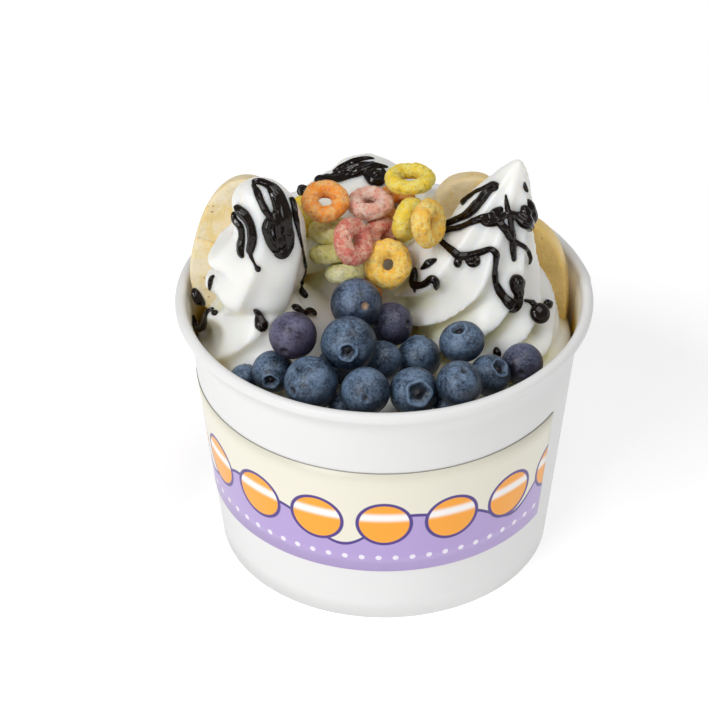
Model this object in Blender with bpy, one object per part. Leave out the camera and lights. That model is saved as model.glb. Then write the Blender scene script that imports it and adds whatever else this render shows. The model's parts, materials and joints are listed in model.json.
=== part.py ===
"""Frozen yogurt cup: three soft-serve swirls in a paper cup, with berries, cereal rings and banana slices.

Units are metres and +Z is up.  The origin is the middle of the cup's foot, and the front faces -Y.
A direction is given by its heading, in degrees from the front with + towards +X, and its tilt above level.
"""

import math
from collections import namedtuple

import bmesh
import bpy
from mathutils import Matrix, Vector
from mathutils.bvhtree import BVHTree

MM = 0.001
GAP = 0.3 * MM
MERGE = MM / 1000
SHARP_ANGLE = 40

# Paper cup
CUP_HEIGHT = 78.4 * MM
LIP_RADIUS = 58.0 * MM
LIP_ROLL = 3.2 * MM
WALL_TOP_RADIUS = 54.7 * MM
FOOT_RADIUS = 46.6 * MM
PAPER = 0.6 * MM
FLOOR_HEIGHT = 6.0 * MM
CUP_SIDES = 44
LIP_STEPS = 7
LIP_ARC_START = -110
LIP_ARC_SWEEP = 290
WALL_SLOPE = (WALL_TOP_RADIUS - FOOT_RADIUS) / (CUP_HEIGHT - LIP_ROLL)

# Frozen yogurt
YOGURT_LEVEL = 67.0 * MM
YOGURT_EDGE_DROP = 2.5 * MM
YOGURT_EDGE_WIDTH = 6.0 * MM
POINTS_PER_LOBE = 4
LOBE_SKEW = 0.55

# Toppings
DROP_FROM = 128.0 * MM
DROP_STEP = 1.0 * MM
DROP_HALVINGS = 6
BERRY_SIDES = 10
BERRY_LEVELS = 8
CROWN_PIT = 0.78
RING_SIDES = 12
RING_TUBE_SIDES = 6
RING_TUBE = 2.45 * MM
RING_STRETCH = 0.03
RING_STRETCH_STEP = 2.4
SLICE_SIDES = 20
SLICE_FULLNESS = 0.8
SLICE_THICKNESS = 7.0 * MM
SLICE_ROUNDING = 1.0 * MM

Swirl = namedtuple("Swirl", "name lobes levels swells")
Slice = namedtuple("Slice", "name centre half_width half_height heading tilt roll hollow")
Berry = namedtuple("Berry", "x y diameter squash heading tilt")
Ring = namedtuple("Ring", "x y diameter kind heading tilt")

# Each level of a swirl gives its height, its centre (x, y), its radius, the turn of its first ridge in
# degrees and how deep the hollows between its ridges are.  Each swell is a lump on its side, or a dent: a
# heading, a height, how far it stands out, and its spread in degrees and in height.  All in millimetres.
SWIRLS = (
    Swirl("swirl_left", 6, (
        (67.3, -33.0, -8.0, 17.4, -204, 0.14),
        (71.0, -33.0, -8.0, 18.2, -193, 0.15),
        (75.0, -33.0, -8.0, 18.3, -178, 0.16),
        (79.0, -33.3, -8.0, 17.0, -160, 0.15),
        (82.5, -33.8, -8.0, 14.6, -140, 0.14),
        (84.8, -34.2, -8.0, 13.2, -119, 0.13),
        (87.0, -34.5, -8.0, 14.4, -110, 0.12),
        (92.0, -34.7, -8.0, 14.1, -103, 0.12),
        (98.0, -34.3, -7.9, 12.6, -95, 0.11),
        (104.0, -33.3, -7.8, 10.7, -89, 0.10),
        (110.0, -33.1, -7.8, 9.1, -84, 0.09),
        (115.0, -33.5, -7.8, 7.4, -80, 0.07),
        (118.4, -33.8, -7.8, 4.4, -77, 0.04),
        (119.8, -33.8, -7.8, 0.9, -76, 0.02),
    ), (
        (90, 106.0, 2.2, 55, 10.0),
        (-90, 104.5, -2.2, 45, 4.0),
        (-90, 92.0, -2.4, 40, 2.0),
        (-92, 82.0, -5.0, 36, 2.0),
        (-90, 72.0, -1.4, 40, 5.0),
    )),
    Swirl("swirl_right", 6, (
        (67.3, 27.0, -0.5, 20.6, -189, 0.19),
        (71.0, 27.0, -0.5, 21.7, -170, 0.20),
        (75.0, 26.8, -0.5, 22.0, -149, 0.22),
        (78.0, 26.6, -0.5, 21.3, -134, 0.22),
        (81.5, 26.4, -0.4, 20.0, -118, 0.22),
        (85.0, 26.3, -0.3, 18.4, -104, 0.20),
        (90.0, 27.3, 0.0, 16.8, -93.5, 0.18),
        (95.0, 28.2, 0.4, 15.0, -90.5, 0.17),
        (101.0, 29.8, 0.8, 12.6, -88, 0.17),
        (107.0, 31.7, 1.2, 10.1, -85, 0.18),
        (113.0, 34.0, 1.6, 7.2, -83, 0.18),
        (117.5, 35.5, 1.9, 4.2, -81, 0.16),
        (120.8, 36.4, 2.0, 0.8, -80, 0.05),
    ), (
        (92, 97.0, -1.8, 50, 14.0),
        (-82, 92.5, 7.0, 30, 6.5),
    )),
    Swirl("swirl_back", 7, (
        (67.3, -5.0, 20.5, 24.8, -150, 0.15),
        (71.0, -5.0, 20.5, 26.0, -136, 0.16),
        (76.0, -5.0, 20.5, 26.0, -112, 0.18),
        (80.0, -5.0, 20.7, 24.3, -91, 0.18),
        (84.0, -5.0, 21.2, 21.3, -70, 0.17),
        (87.5, -5.0, 22.0, 18.0, -52, 0.14),
        (90.0, -5.0, 22.8, 17.2, -43, 0.14),
        (93.0, -5.0, 23.9, 16.9, -36, 0.14),
        (96.5, -5.0, 25.1, 14.2, -28, 0.13),
        (100.0, -4.9, 26.0, 10.4, -22, 0.11),
        (103.0, -4.8, 26.5, 6.4, -19, 0.08),
        (104.6, -4.8, 26.6, 3.2, -18, 0.05),
        (105.2, -4.8, 26.6, 0.9, -17, 0.03),
    ), (
        (-92, 94.0, 2.8, 32, 6.0),
    )),
)

# A slice stands on edge.  Its hollow is how far behind it a swirl is cleared away.
SLICES = (
    Slice("banana_left", (-39.8, 8.5, 88.0), 12.6, 19.8, -6, 20, -14, 14.0),
    Slice("banana_right", (34.6, 11.5, 70.0), 17.0, 23.2, -10, 14, 3, 14.0),
    Slice("banana_back", (24.8, 30.0, 74.5), 11.6, 20.6, 6, 14, 3, 4.0),
)

# Each topping comes to rest on those before it.  A berry's direction is its crown's, a ring's its axis.
BERRIES = (
    Berry(16.5, -42.5, 6.8, 0.97, 170, 0),
    Berry(9.5, -24.0, 12.4, 0.94, 190, 40),
    Berry(37.5, -26.5, 11.6, 0.95, 176, -9),
    Berry(28.5, -33.5, 11.6, 0.95, 56, 50),
    Berry(-11.5, -43.0, 7.2, 0.95, 180, 20),
    Berry(-38.0, -30.5, 8.0, 1.00, 160, 30),
    Berry(-30.0, -33.5, 11.6, 0.96, -6, 4),
    Berry(-13.0, -26.5, 10.6, 0.95, 100, 30),
    Berry(8.0, -43.0, 13.6, 0.93, 15, 31),
    Berry(-19.5, -42.5, 15.0, 0.95, 136, -10),
    Berry(-0.5, -29.5, 11.4, 0.95, 150, 0),
    Berry(-5.0, -46.0, 13.4, 0.96, 180, -20),
    Berry(20.0, -44.5, 12.6, 0.96, 213, -69),
    Berry(-9.5, -33.5, 15.4, 0.94, -2, 17),
    Berry(-24.5, -31.5, 13.2, 0.96, 160, 10),
    Berry(21.0, -28.0, 12.6, 0.82, -59, 75),
    Berry(2.0, -17.0, 12.2, 0.96, 237, -25),
    Berry(-7.5, -19.5, 14.4, 0.95, 203, -28),
)

RINGS = (
    Ring(-7.0, -6.5, 13.0, "orange", 4, 53),
    Ring(3.5, 12.5, 13.2, "orange", 23, 49),
    Ring(-9.5, -4.0, 13.8, "lime", 209, 62),
    Ring(-1.0, 1.0, 12.8, "pink", 51, 19),
    Ring(-14.0, -1.0, 13.8, "lime", 196, 62),
    Ring(-21.5, 12.5, 12.4, "yellow", -56, 9),
    Ring(1.0, -9.0, 13.8, "yellow", -16, 36),
    Ring(6.5, 3.0, 13.4, "yellow", 63, -4),
    Ring(12.0, -6.0, 13.8, "yellow", 62, 17),
    Ring(-14.5, 2.5, 12.8, "lime", 194, 81),
    Ring(-4.0, 5.5, 13.0, "pink", 1, 86),
    Ring(7.0, 12.0, 14.4, "yellow", 185, 85),
    Ring(-8.5, -9.0, 13.6, "pink", 57, 29),
    Ring(-16.0, 2.0, 13.4, "orange", 11, 64),
)

COLOURS = {
    "paper": (0.86, 0.86, 0.86, 1.0),
    "yogurt": (0.88, 0.87, 0.81, 1.0),
    "banana": (0.78, 0.62, 0.33, 1.0),
    "blueberry": (0.075, 0.115, 0.185, 1.0),
    "orange": (0.84, 0.36, 0.06, 1.0),
    "yellow": (0.78, 0.53, 0.12, 1.0),
    "pink": (0.72, 0.27, 0.20, 1.0),
    "lime": (0.44, 0.36, 0.13, 1.0),
}
ROUGHNESS = {"paper": 0.45, "yogurt": 0.40, "banana": 0.55, "blueberry": 0.55}
CEREAL_ROUGHNESS = 0.9


def make_material(kind):
    """One object's own Principled material, in the colour of its kind."""
    material = bpy.data.materials.new(kind)
    material.use_nodes = True
    shader = material.node_tree.nodes["Principled BSDF"]
    shader.inputs["Base Color"].default_value = COLOURS[kind]
    shader.inputs["Roughness"].default_value = ROUGHNESS.get(kind, CEREAL_ROUGHNESS)
    shader.inputs["Metallic"].default_value = 0.0
    return material


def add_object(name, bm, kind):
    """Closes the bmesh into a smooth-shaded object with outward faces."""
    bmesh.ops.remove_doubles(bm, verts=bm.verts, dist=MERGE)
    bmesh.ops.recalc_face_normals(bm, faces=bm.faces)
    mesh = bpy.data.meshes.new(name)
    bm.to_mesh(mesh)
    bm.free()
    mesh.shade_smooth()
    mesh.set_sharp_from_angle(angle=math.radians(SHARP_ANGLE))
    mesh.materials.append(make_material(kind))
    obj = bpy.data.objects.new(name, mesh)
    bpy.context.collection.objects.link(obj)
    return obj


def direction(heading, tilt):
    """The unit vector at a heading from the front and a tilt above level, in degrees."""
    turn = math.radians(heading)
    rise = math.radians(tilt)
    return Vector((math.sin(turn) * math.cos(rise), -math.cos(turn) * math.cos(rise), math.sin(rise)))


def facing(heading, tilt, roll=0.0):
    """The rotation that turns local +Z to face a heading and tilt, with local +Y kept on the upper side."""
    out = direction(heading, tilt)
    side = direction(heading + 90, 0)
    up = out.cross(side)
    return Matrix((side, up, out)).transposed() @ Matrix.Rotation(math.radians(roll), 3, "Z")


def turned(name, outline, kind):
    """A ring-shaped solid: a closed outline of (radius, height) points spun round the cup's axis."""
    bm = bmesh.new()
    corners = [bm.verts.new((radius, 0, height)) for radius, height in outline]
    edges = [bm.edges.new((a, b)) for a, b in zip(corners, corners[1:] + corners[:1])]
    bmesh.ops.spin(
        bm, geom=corners + edges, cent=(0, 0, 0), axis=(0, 0, 1),
        angle=math.tau, steps=CUP_SIDES, use_merge=True,
    )
    return add_object(name, bm, kind)


def wall_radius(height, layers_in=0):
    """The wall's outer radius at a height, moved in by whole paper layers and their gaps."""
    return FOOT_RADIUS + WALL_SLOPE * height - layers_in * (PAPER + GAP)


def make_cup_wall():
    """The side wall, its lip rolled outward at the top and its foot folded in over the floor's skirt."""
    roll = LIP_ROLL / 2
    centre = Vector((LIP_RADIUS - roll, CUP_HEIGHT - roll))
    lip = []
    for step in range(LIP_STEPS + 1):
        turn = math.radians(LIP_ARC_START + LIP_ARC_SWEEP * step / LIP_STEPS)
        lip.append(centre + roll * Vector((math.cos(turn), math.sin(turn))))
    lip_foot = CUP_HEIGHT - LIP_ROLL
    fold_top = FLOOR_HEIGHT - GAP
    outline = [(wall_radius(0), 0), (wall_radius(lip_foot), lip_foot)]
    outline += [tuple(point) for point in lip]
    outline += [
        (wall_radius(lip_foot) - PAPER, lip_foot),
        (wall_radius(PAPER) - PAPER, PAPER),
        (wall_radius(PAPER, 2), PAPER),
        (wall_radius(fold_top, 2), fold_top),
        (wall_radius(fold_top, 2) - PAPER, fold_top),
        (wall_radius(0, 2) - PAPER, 0),
    ]
    return turned("cup_wall", outline, "paper")


def extrude_rim(bm, rim):
    """Extrudes an open rim on the spot, and returns the new rim and its corners."""
    made = bmesh.ops.extrude_edge_only(bm, edges=rim)["geom"]
    corners = [item for item in made if isinstance(item, bmesh.types.BMVert)]
    return [item for item in made if isinstance(item, bmesh.types.BMEdge)], corners


def stacked(name, levels, kind):
    """A round solid on the cup's axis: a disc extruded through its levels of (radius, height), and closed."""
    radius, height = levels[0]
    bm = bmesh.new()
    corners = bmesh.ops.create_circle(bm, cap_ends=True, segments=CUP_SIDES, radius=radius)["verts"]
    bmesh.ops.translate(bm, verts=corners, vec=(0, 0, height))
    rim = bm.edges[:]
    for next_radius, next_height in levels[1:]:
        rim, corners = extrude_rim(bm, rim)
        spread = next_radius / radius
        bmesh.ops.scale(bm, verts=corners, vec=(spread, spread, 1))
        bmesh.ops.translate(bm, verts=corners, vec=(0, 0, next_height - height))
        radius, height = next_radius, next_height
    bmesh.ops.edgeloop_fill(bm, edges=rim)
    return add_object(name, bm, kind)


def make_cup_floor():
    """The raised floor disc with its skirt turned down between the wall and the fold."""
    skirt_foot = PAPER + GAP
    top = FLOOR_HEIGHT + PAPER
    levels = (
        (wall_radius(top, 1), top),
        (wall_radius(skirt_foot, 1), skirt_foot),
        (wall_radius(skirt_foot, 1) - PAPER, skirt_foot),
        (wall_radius(FLOOR_HEIGHT, 1) - PAPER, FLOOR_HEIGHT),
    )
    return stacked("cup_floor", levels, "paper")


def make_yogurt_base():
    """The frozen yogurt that fills the cup, with its edge sinking where it meets the wall."""
    bottom = FLOOR_HEIGHT + PAPER + GAP
    edge_level = YOGURT_LEVEL - YOGURT_EDGE_DROP
    edge_radius = wall_radius(edge_level, 1)
    levels = (
        (wall_radius(bottom, 1), bottom),
        (edge_radius, edge_level),
        (edge_radius - YOGURT_EDGE_WIDTH / 3, YOGURT_LEVEL - YOGURT_EDGE_DROP / 3),
        (edge_radius - YOGURT_EDGE_WIDTH, YOGURT_LEVEL),
    )
    return stacked("yogurt_base", levels, "yogurt")


def make_swirl(swirl):
    """A soft-serve swirl: a ridged ring extruded level by level, turning and narrowing towards its tip."""
    count = swirl.lobes * POINTS_PER_LOBE
    bm = bmesh.new()
    corners = bmesh.ops.create_circle(bm, cap_ends=True, segments=count, radius=1.0)["verts"]
    rim = bm.edges[:]
    for number, (height, x, y, radius, turn, depth) in enumerate(swirl.levels):
        if number:
            rim, fresh = extrude_rim(bm, rim)
            corners = follow_on(corners, fresh)
        for index, corner in enumerate(corners):
            across_lobe = index % POINTS_PER_LOBE / POINTS_PER_LOBE
            hollow = math.sin(math.pi * across_lobe ** LOBE_SKEW)
            angle = turn + 360 * index / count
            reach = radius * (1 - depth * hollow) + swell_at(swirl, angle + 90, height)
            way = math.radians(angle)
            corner.co = (x + reach * math.cos(way), y + reach * math.sin(way), height)
    bmesh.ops.edgeloop_fill(bm, edges=rim)
    bmesh.ops.scale(bm, verts=bm.verts, vec=(MM, MM, MM))
    for other in SWIRLS:
        if other is not swirl:
            press_flat(bm, swirl, other)
    return add_object(swirl.name, bm, "yogurt")


def swell_at(swirl, heading, height):
    """How far a swirl's swells carry its side out at a heading and a height."""
    total = 0.0
    for swell_heading, swell_height, stand_out, wide, tall in swirl.swells:
        off = (heading - swell_heading + 180) % 360 - 180
        total += stand_out * math.exp(-(off / wide) ** 2 - ((height - swell_height) / tall) ** 2)
    return total


def follow_on(corners, fresh):
    """The new corners of an extruded rim, in the order of the corners that they grew from."""
    grown = {edge.other_vert(corner): corner for corner in fresh for edge in corner.link_edges}
    return [grown[corner] for corner in corners]


def press_flat(bm, swirl, other):
    """Where two swirls would run into each other, cuts this one at an upright plane and closes the cut."""
    foot, other_foot = (Vector(one.levels[0][1:3]) for one in (swirl, other))
    apart = other_foot - foot
    reach, other_reach = (max(level[3] for level in one.levels) for one in (swirl, other))
    if apart.length > reach + other_reach:
        return
    share = (apart.length_squared + reach ** 2 - other_reach ** 2) / (2 * apart.length)
    towards = apart.normalized()
    point = (foot + towards * share) * MM - towards * GAP / 2
    cut = bmesh.ops.bisect_plane(
        bm, geom=bm.verts[:] + bm.edges[:] + bm.faces[:], dist=MERGE,
        plane_co=point.to_3d(), plane_no=towards.to_3d(), clear_outer=True,
    )["geom_cut"]
    bmesh.ops.holes_fill(bm, edges=[item for item in cut if isinstance(item, bmesh.types.BMEdge)], sides=0)


def slice_mesh(banana, swell=0.0, hollow=0.0):
    """A full oval slice with rounded rims, grown all round by swell and backwards by hollow."""
    bm = bmesh.new()
    bmesh.ops.create_circle(bm, cap_ends=True, segments=SLICE_SIDES, radius=1.0)
    for corner in bm.verts:
        corner.co.xy = [math.copysign(abs(part) ** SLICE_FULLNESS, part) for part in corner.co.xy]
    wide = banana.half_width * MM + swell
    high = banana.half_height * MM + swell
    thick = SLICE_THICKNESS + 2 * swell
    bmesh.ops.scale(bm, verts=bm.verts, vec=(wide, high, 1))
    face = bmesh.ops.extrude_face_region(bm, geom=bm.faces[:])["geom"]
    upper = [item for item in face if isinstance(item, bmesh.types.BMVert)]
    bmesh.ops.translate(bm, verts=upper, vec=(0, 0, thick + hollow))
    bmesh.ops.translate(bm, verts=bm.verts, vec=(0, 0, -thick / 2 - hollow))
    rims = [edge for edge in bm.edges if abs(edge.verts[0].co.z - edge.verts[1].co.z) < MERGE]
    bmesh.ops.bevel(
        bm, geom=rims, offset=SLICE_ROUNDING, affect="EDGES", segments=1, profile=0.5, material=-1,
    )
    return bm


def place_slice(banana, name, bm, kind):
    """An object made from a slice's mesh, standing where the slice stands."""
    obj = add_object(name, bm, kind)
    obj.location = Vector(banana.centre) * MM
    obj.rotation_euler = facing(banana.heading, banana.tilt, banana.roll).to_euler()
    return obj


def cut_slot(piece, banana, hollow=0.0):
    """Takes the slice's room, and a hollow behind it, out of a piece of yogurt that it reaches."""
    name = f"{banana.name}_slot_in_{piece.name}"
    slot = place_slice(banana, name, slice_mesh(banana, GAP, hollow), "yogurt")
    slot.hide_render = True
    slot.display_type = "WIRE"
    bpy.context.view_layer.update()
    if world_tree(slot).overlap(world_tree(piece)):
        cut = piece.modifiers.new(banana.name, "BOOLEAN")
        cut.operation = "DIFFERENCE"
        cut.object = slot
    else:
        bpy.data.objects.remove(slot)


def world_tree(obj):
    """A search tree of the object's finished surface in its place."""
    shown = obj.evaluated_get(bpy.context.evaluated_depsgraph_get())
    mesh = shown.to_mesh()
    points = [obj.matrix_world @ corner.co for corner in mesh.vertices]
    tree = BVHTree.FromPolygons(points, [tuple(face.vertices) for face in mesh.polygons])
    shown.to_mesh_clear()
    return tree


def lower_onto(heap, obj, x, y):
    """Brings the object straight down at x, y until it all but touches the heap, then adds it to the heap."""
    mesh = obj.data
    turn = obj.rotation_euler.to_matrix()
    swollen = [turn @ (corner.co + corner.normal * GAP) for corner in mesh.vertices]
    faces = [tuple(face.vertices) for face in mesh.polygons]

    def clear_at(height):
        shift = Vector((x, y, height))
        tree = BVHTree.FromPolygons([point + shift for point in swollen], faces)
        return not any(tree.overlap(other) for other in heap)

    height = DROP_FROM
    while clear_at(height - DROP_STEP):
        height -= DROP_STEP
    step = DROP_STEP
    for _ in range(DROP_HALVINGS):
        step /= 2
        if clear_at(height - step):
            height -= step
    obj.location = (x, y, height)
    bpy.context.view_layer.update()
    heap.append(world_tree(obj))


def make_berry(number, berry):
    """A blueberry: a slightly flattened ball whose top is pushed in as the crown's pit."""
    radius = berry.diameter / 2 * MM
    bm = bmesh.new()
    bmesh.ops.create_uvsphere(bm, u_segments=BERRY_SIDES, v_segments=BERRY_LEVELS, radius=radius)
    crown = max(bm.verts, key=lambda corner: corner.co.z)
    crown.co.z *= CROWN_PIT
    bmesh.ops.scale(bm, verts=bm.verts, vec=(1, 1, berry.squash))
    obj = add_object(f"blueberry_{number:02d}", bm, "blueberry")
    obj.rotation_euler = facing(berry.heading, berry.tilt).to_euler()
    return obj


def make_ring(number, ring):
    """A cereal ring: a fat hoop, a little longer one way than the other."""
    middle = ring.diameter / 2 * MM - RING_TUBE
    stretch = 1 + RING_STRETCH * math.sin(number * RING_STRETCH_STEP)
    bm = bmesh.new()
    tube = bmesh.ops.create_circle(bm, segments=RING_TUBE_SIDES, radius=RING_TUBE)
    bmesh.ops.rotate(bm, verts=tube["verts"], cent=(0, 0, 0), matrix=Matrix.Rotation(math.pi / 2, 3, "X"))
    bmesh.ops.translate(bm, verts=tube["verts"], vec=(middle, 0, 0))
    bmesh.ops.spin(
        bm, geom=bm.verts[:] + bm.edges[:], cent=(0, 0, 0), axis=(0, 0, 1),
        angle=math.tau, steps=RING_SIDES, use_merge=True,
    )
    bmesh.ops.scale(bm, verts=bm.verts, vec=(stretch, 1 / stretch, 1))
    obj = add_object(f"cereal_ring_{number:02d}", bm, ring.kind)
    obj.rotation_euler = facing(ring.heading, ring.tilt).to_euler()
    return obj


def main():
    for obj in list(bpy.data.objects):
        bpy.data.objects.remove(obj)
    cup = [make_cup_wall(), make_cup_floor()]
    base = make_yogurt_base()
    swirls = [make_swirl(swirl) for swirl in SWIRLS]
    slices = [place_slice(banana, banana.name, slice_mesh(banana), "banana") for banana in SLICES]
    for banana in SLICES:
        cut_slot(base, banana)
        for swirl in swirls:
            cut_slot(swirl, banana, banana.hollow * MM)
    bpy.context.view_layer.update()
    heap = [world_tree(obj) for obj in cup + [base] + swirls + slices]
    for number, berry in enumerate(BERRIES, 1):
        lower_onto(heap, make_berry(number, berry), berry.x * MM, berry.y * MM)
    for number, ring in enumerate(RINGS, 1):
        lower_onto(heap, make_ring(number, ring), ring.x * MM, ring.y * MM)


if __name__ == "__main__":
    main()
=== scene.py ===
"""The looks of a frozen yogurt cup: paper, swirls, fruit, cereal rings and chocolate sauce.

The file is laid out as an add-on: each piece has an operator, its sizes and colours are settings, and a panel
lists them.  Lengths in the tables are millimetres.  A direction is given by its heading, in degrees from the
front with + towards +X, and its tilt above level.
"""

import json
import math
from collections import namedtuple

import bmesh
import bpy
import numpy as np
from bpy.props import FloatProperty, FloatVectorProperty, IntProperty, PointerProperty
from mathutils import Matrix, Vector, noise
from mathutils.bvhtree import BVHTree


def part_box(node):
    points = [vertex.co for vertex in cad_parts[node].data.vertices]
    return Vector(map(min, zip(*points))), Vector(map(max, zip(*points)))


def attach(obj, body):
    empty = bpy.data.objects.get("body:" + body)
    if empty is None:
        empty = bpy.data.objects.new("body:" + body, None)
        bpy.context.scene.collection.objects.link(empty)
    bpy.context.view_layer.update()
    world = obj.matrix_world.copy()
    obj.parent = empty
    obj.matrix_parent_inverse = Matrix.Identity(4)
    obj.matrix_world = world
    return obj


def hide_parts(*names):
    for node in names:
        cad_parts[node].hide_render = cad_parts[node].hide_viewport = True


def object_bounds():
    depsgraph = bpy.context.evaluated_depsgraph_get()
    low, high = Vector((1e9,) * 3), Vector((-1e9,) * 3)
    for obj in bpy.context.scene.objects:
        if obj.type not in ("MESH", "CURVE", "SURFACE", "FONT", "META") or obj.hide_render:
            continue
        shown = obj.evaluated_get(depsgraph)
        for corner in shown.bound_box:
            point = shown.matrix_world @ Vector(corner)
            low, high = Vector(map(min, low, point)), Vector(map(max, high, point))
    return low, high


bl_info = {
    "name": "Frozen Yogurt Cup",
    "version": (1, 0, 0),
    "blender": (4, 5, 0),
    "location": "3D View > Sidebar > Yogurt Cup",
    "description": "Dresses a cup of frozen yogurt: paper, swirls, fruit, cereal rings and chocolate sauce",
    "category": "Object",
}

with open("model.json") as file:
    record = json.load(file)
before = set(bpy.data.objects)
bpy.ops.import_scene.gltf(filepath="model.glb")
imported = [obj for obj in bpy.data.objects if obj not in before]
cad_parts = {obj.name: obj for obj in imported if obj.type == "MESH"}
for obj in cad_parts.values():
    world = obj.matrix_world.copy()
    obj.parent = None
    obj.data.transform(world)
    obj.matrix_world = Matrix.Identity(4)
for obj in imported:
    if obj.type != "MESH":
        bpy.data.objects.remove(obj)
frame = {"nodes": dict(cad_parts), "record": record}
CAD_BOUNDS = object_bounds()

MM = 0.001
MERGE = MM / 1000
BODY = "root"
SLOT_OF_NODE = {part["node"]: part["material_slot"] for part in frame["record"]["subparts"]}


# ----------------------------------------
# The frame's own sizes


def corners_of(node):
    """The corners of a CAD node as an array of points."""
    return np.array([corner.co for corner in frame["nodes"][node].data.vertices], float)


def distinct_corners(node):
    """The corners of a CAD node without their doubles."""
    return np.unique(np.round(corners_of(node), 7), axis=0)


def reach(node, low, high):
    """How far a node reaches from the cup's axis between two heights."""
    points = corners_of(node)
    points = points[(points[:, 2] >= low) & (points[:, 2] <= high)]
    return float(np.hypot(points[:, 0], points[:, 1]).max())


def nodes_named(start):
    """The names of the CAD nodes that begin with a word, in order."""
    return sorted(name for name in frame["nodes"] if name.startswith(start))


CUP_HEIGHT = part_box("cup_wall")[1].z
FOOT_RADIUS = reach("cup_wall", -MERGE, MM / 10)
LIP_RADIUS = CAD_BOUNDS[1].x
FLOOR_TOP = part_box("cup_floor")[1].z
LIP_FOOT = 75.2 * MM
WALL_SLOPE = (reach("cup_wall", LIP_FOOT - MM / 10, LIP_FOOT) - FOOT_RADIUS) / LIP_FOOT
YOGURT_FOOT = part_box("yogurt_base")[0].z
YOGURT_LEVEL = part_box("yogurt_base")[1].z
YOGURT_FOOT_RADIUS = reach("yogurt_base", YOGURT_FOOT - MERGE, YOGURT_FOOT + MERGE)
YOGURT_RADIUS = reach("yogurt_base", YOGURT_FOOT, YOGURT_LEVEL)
YOGURT_SLOPE = (YOGURT_RADIUS - YOGURT_FOOT_RADIUS) / (YOGURT_LEVEL - YOGURT_FOOT)


# ----------------------------------------
# Settings


def length(name, description, default):
    """A setting that is a length in metres."""
    return FloatProperty(
        name=name, description=description, default=default, unit="LENGTH", subtype="DISTANCE",
    )


def colour(name, description, default):
    """A setting that is a colour, in linear red, green and blue."""
    return FloatVectorProperty(name=name, description=description, default=default, size=3, subtype="COLOR")


class PaperCupSettings(bpy.types.PropertyGroup):
    """The cup's paper and its lip."""

    lip_roll: length("Lip roll", "Thickness of the rolled lip", 3.2 * MM)
    paper: length("Paper", "Thickness of the coated paper", 0.6 * MM)
    paper_colour: colour("Paper colour", "Colour of the coated paper", (0.77, 0.77, 0.765))
    # Partly painted reflection: the inner side's cream is lighter and warmer than the outer paper, standing
    # in for light bounced off the food.
    lining_with_bounce: colour("Lining", "Colour of the paper's inner side", (0.90, 0.86, 0.74))
    # Painted shade: a golden-brown colour low on the paper's inner side, standing in for the warm shadow in
    # the gap by the food.
    lining_shade: colour("Stain", "Colour inside, where melt has run down the paper", (0.66, 0.45, 0.07))


class BandSettings(bpy.types.PropertyGroup):
    """The printed band round the cup."""

    bottom: length("Bottom", "Height of the band's lower edge", 18.5 * MM)
    top: length("Top", "Height of the band's upper edge", 55.5 * MM)
    cream: colour("Cream", "Colour of the band's ground", (0.79, 0.76, 0.64))
    lilac: colour("Lilac", "Colour of the waves", (0.43, 0.32, 0.63))
    violet: colour("Violet", "Colour of the outlines", (0.045, 0.012, 0.21))
    orange: colour("Orange", "Colour of the discs", (0.95, 0.36, 0.0))


class YogurtSettings(bpy.types.PropertyGroup):
    """The frozen yogurt."""

    voxel: length("Voxel", "Finest detail of the yogurt's skin", 0.62 * MM)
    white: colour("White", "Colour where the yogurt is plain", (0.83, 0.83, 0.80))
    # Painted shade: these two colours tint the folds and the deepest gaps by how hidden they are, standing in
    # for their shade.
    crease_shade: colour("Crease", "Colour deep in the folds", (0.85, 0.82, 0.44))
    deep_gap_shade: colour("Gold", "Colour in the deepest gaps", (0.70, 0.52, 0.14))
    # Painted shade: amber stands in for the warm shadow deep in the gap between the yogurt and the wall.
    amber: colour("Amber", "Colour of the melt along the wall", (0.52, 0.33, 0.02))


class BananaSettings(bpy.types.PropertyGroup):
    """The banana slices."""

    flesh: colour("Flesh", "Colour of the cut fruit", (0.74, 0.66, 0.48))
    patch: colour("Patch", "Colour of the fruit's yellower patches", (0.72, 0.56, 0.25))
    core: colour("Core", "Colour round the seeds", (0.90, 0.60, 0.15))
    fleck: colour("Fleck", "Colour of seeds and bruises", (0.26, 0.10, 0.03))


class BlueberrySettings(bpy.types.PropertyGroup):
    """The blueberries."""

    skin: colour("Skin", "Colour of the bare skin", (0.004, 0.009, 0.021))
    bloom: colour("Bloom", "Colour of the waxy bloom", (0.150, 0.225, 0.340))
    purple: colour("Purple", "Tint of the riper berries", (0.078, 0.044, 0.090))


class CerealSettings(bpy.types.PropertyGroup):
    """The cereal rings."""

    craggy: length("Craggy", "Depth of the rings' rough crust", 0.58 * MM)
    steps_round: IntProperty(
        name="Steps round", description="Faces round a ring", default=96, min=24, max=160,
    )


class SauceSettings(bpy.types.PropertyGroup):
    """The chocolate sauce."""

    voxel: length("Voxel", "Finest detail of the sauce", 0.25 * MM)
    brown: colour("Brown", "Colour of the sauce", (0.0060, 0.0030, 0.0020))


class StageSettings(bpy.types.PropertyGroup):
    """The floor, lights and camera."""

    elevation: FloatProperty(
        name="Elevation", description="Angle of the camera above level", default=math.radians(36.39),
        subtype="ANGLE",
    )
    distance: length("Distance", "From the camera to the point it looks at", 1.0)
    target_height: length("Target height", "Height of the point the camera looks at", 45 * MM)


SETTINGS = {
    "paper_cup": PaperCupSettings,
    "printed_band": BandSettings,
    "frozen_yogurt": YogurtSettings,
    "banana_slices": BananaSettings,
    "blueberries": BlueberrySettings,
    "cereal_rings": CerealSettings,
    "chocolate_sauce": SauceSettings,
    "studio": StageSettings,
}


# ----------------------------------------
# Shapes


def direction(heading, tilt):
    """The unit vector at a heading from the front and a tilt above level, in degrees."""
    turn, rise = math.radians(heading), math.radians(tilt)
    return Vector((math.sin(turn) * math.cos(rise), -math.cos(turn) * math.cos(rise), math.sin(rise)))


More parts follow.
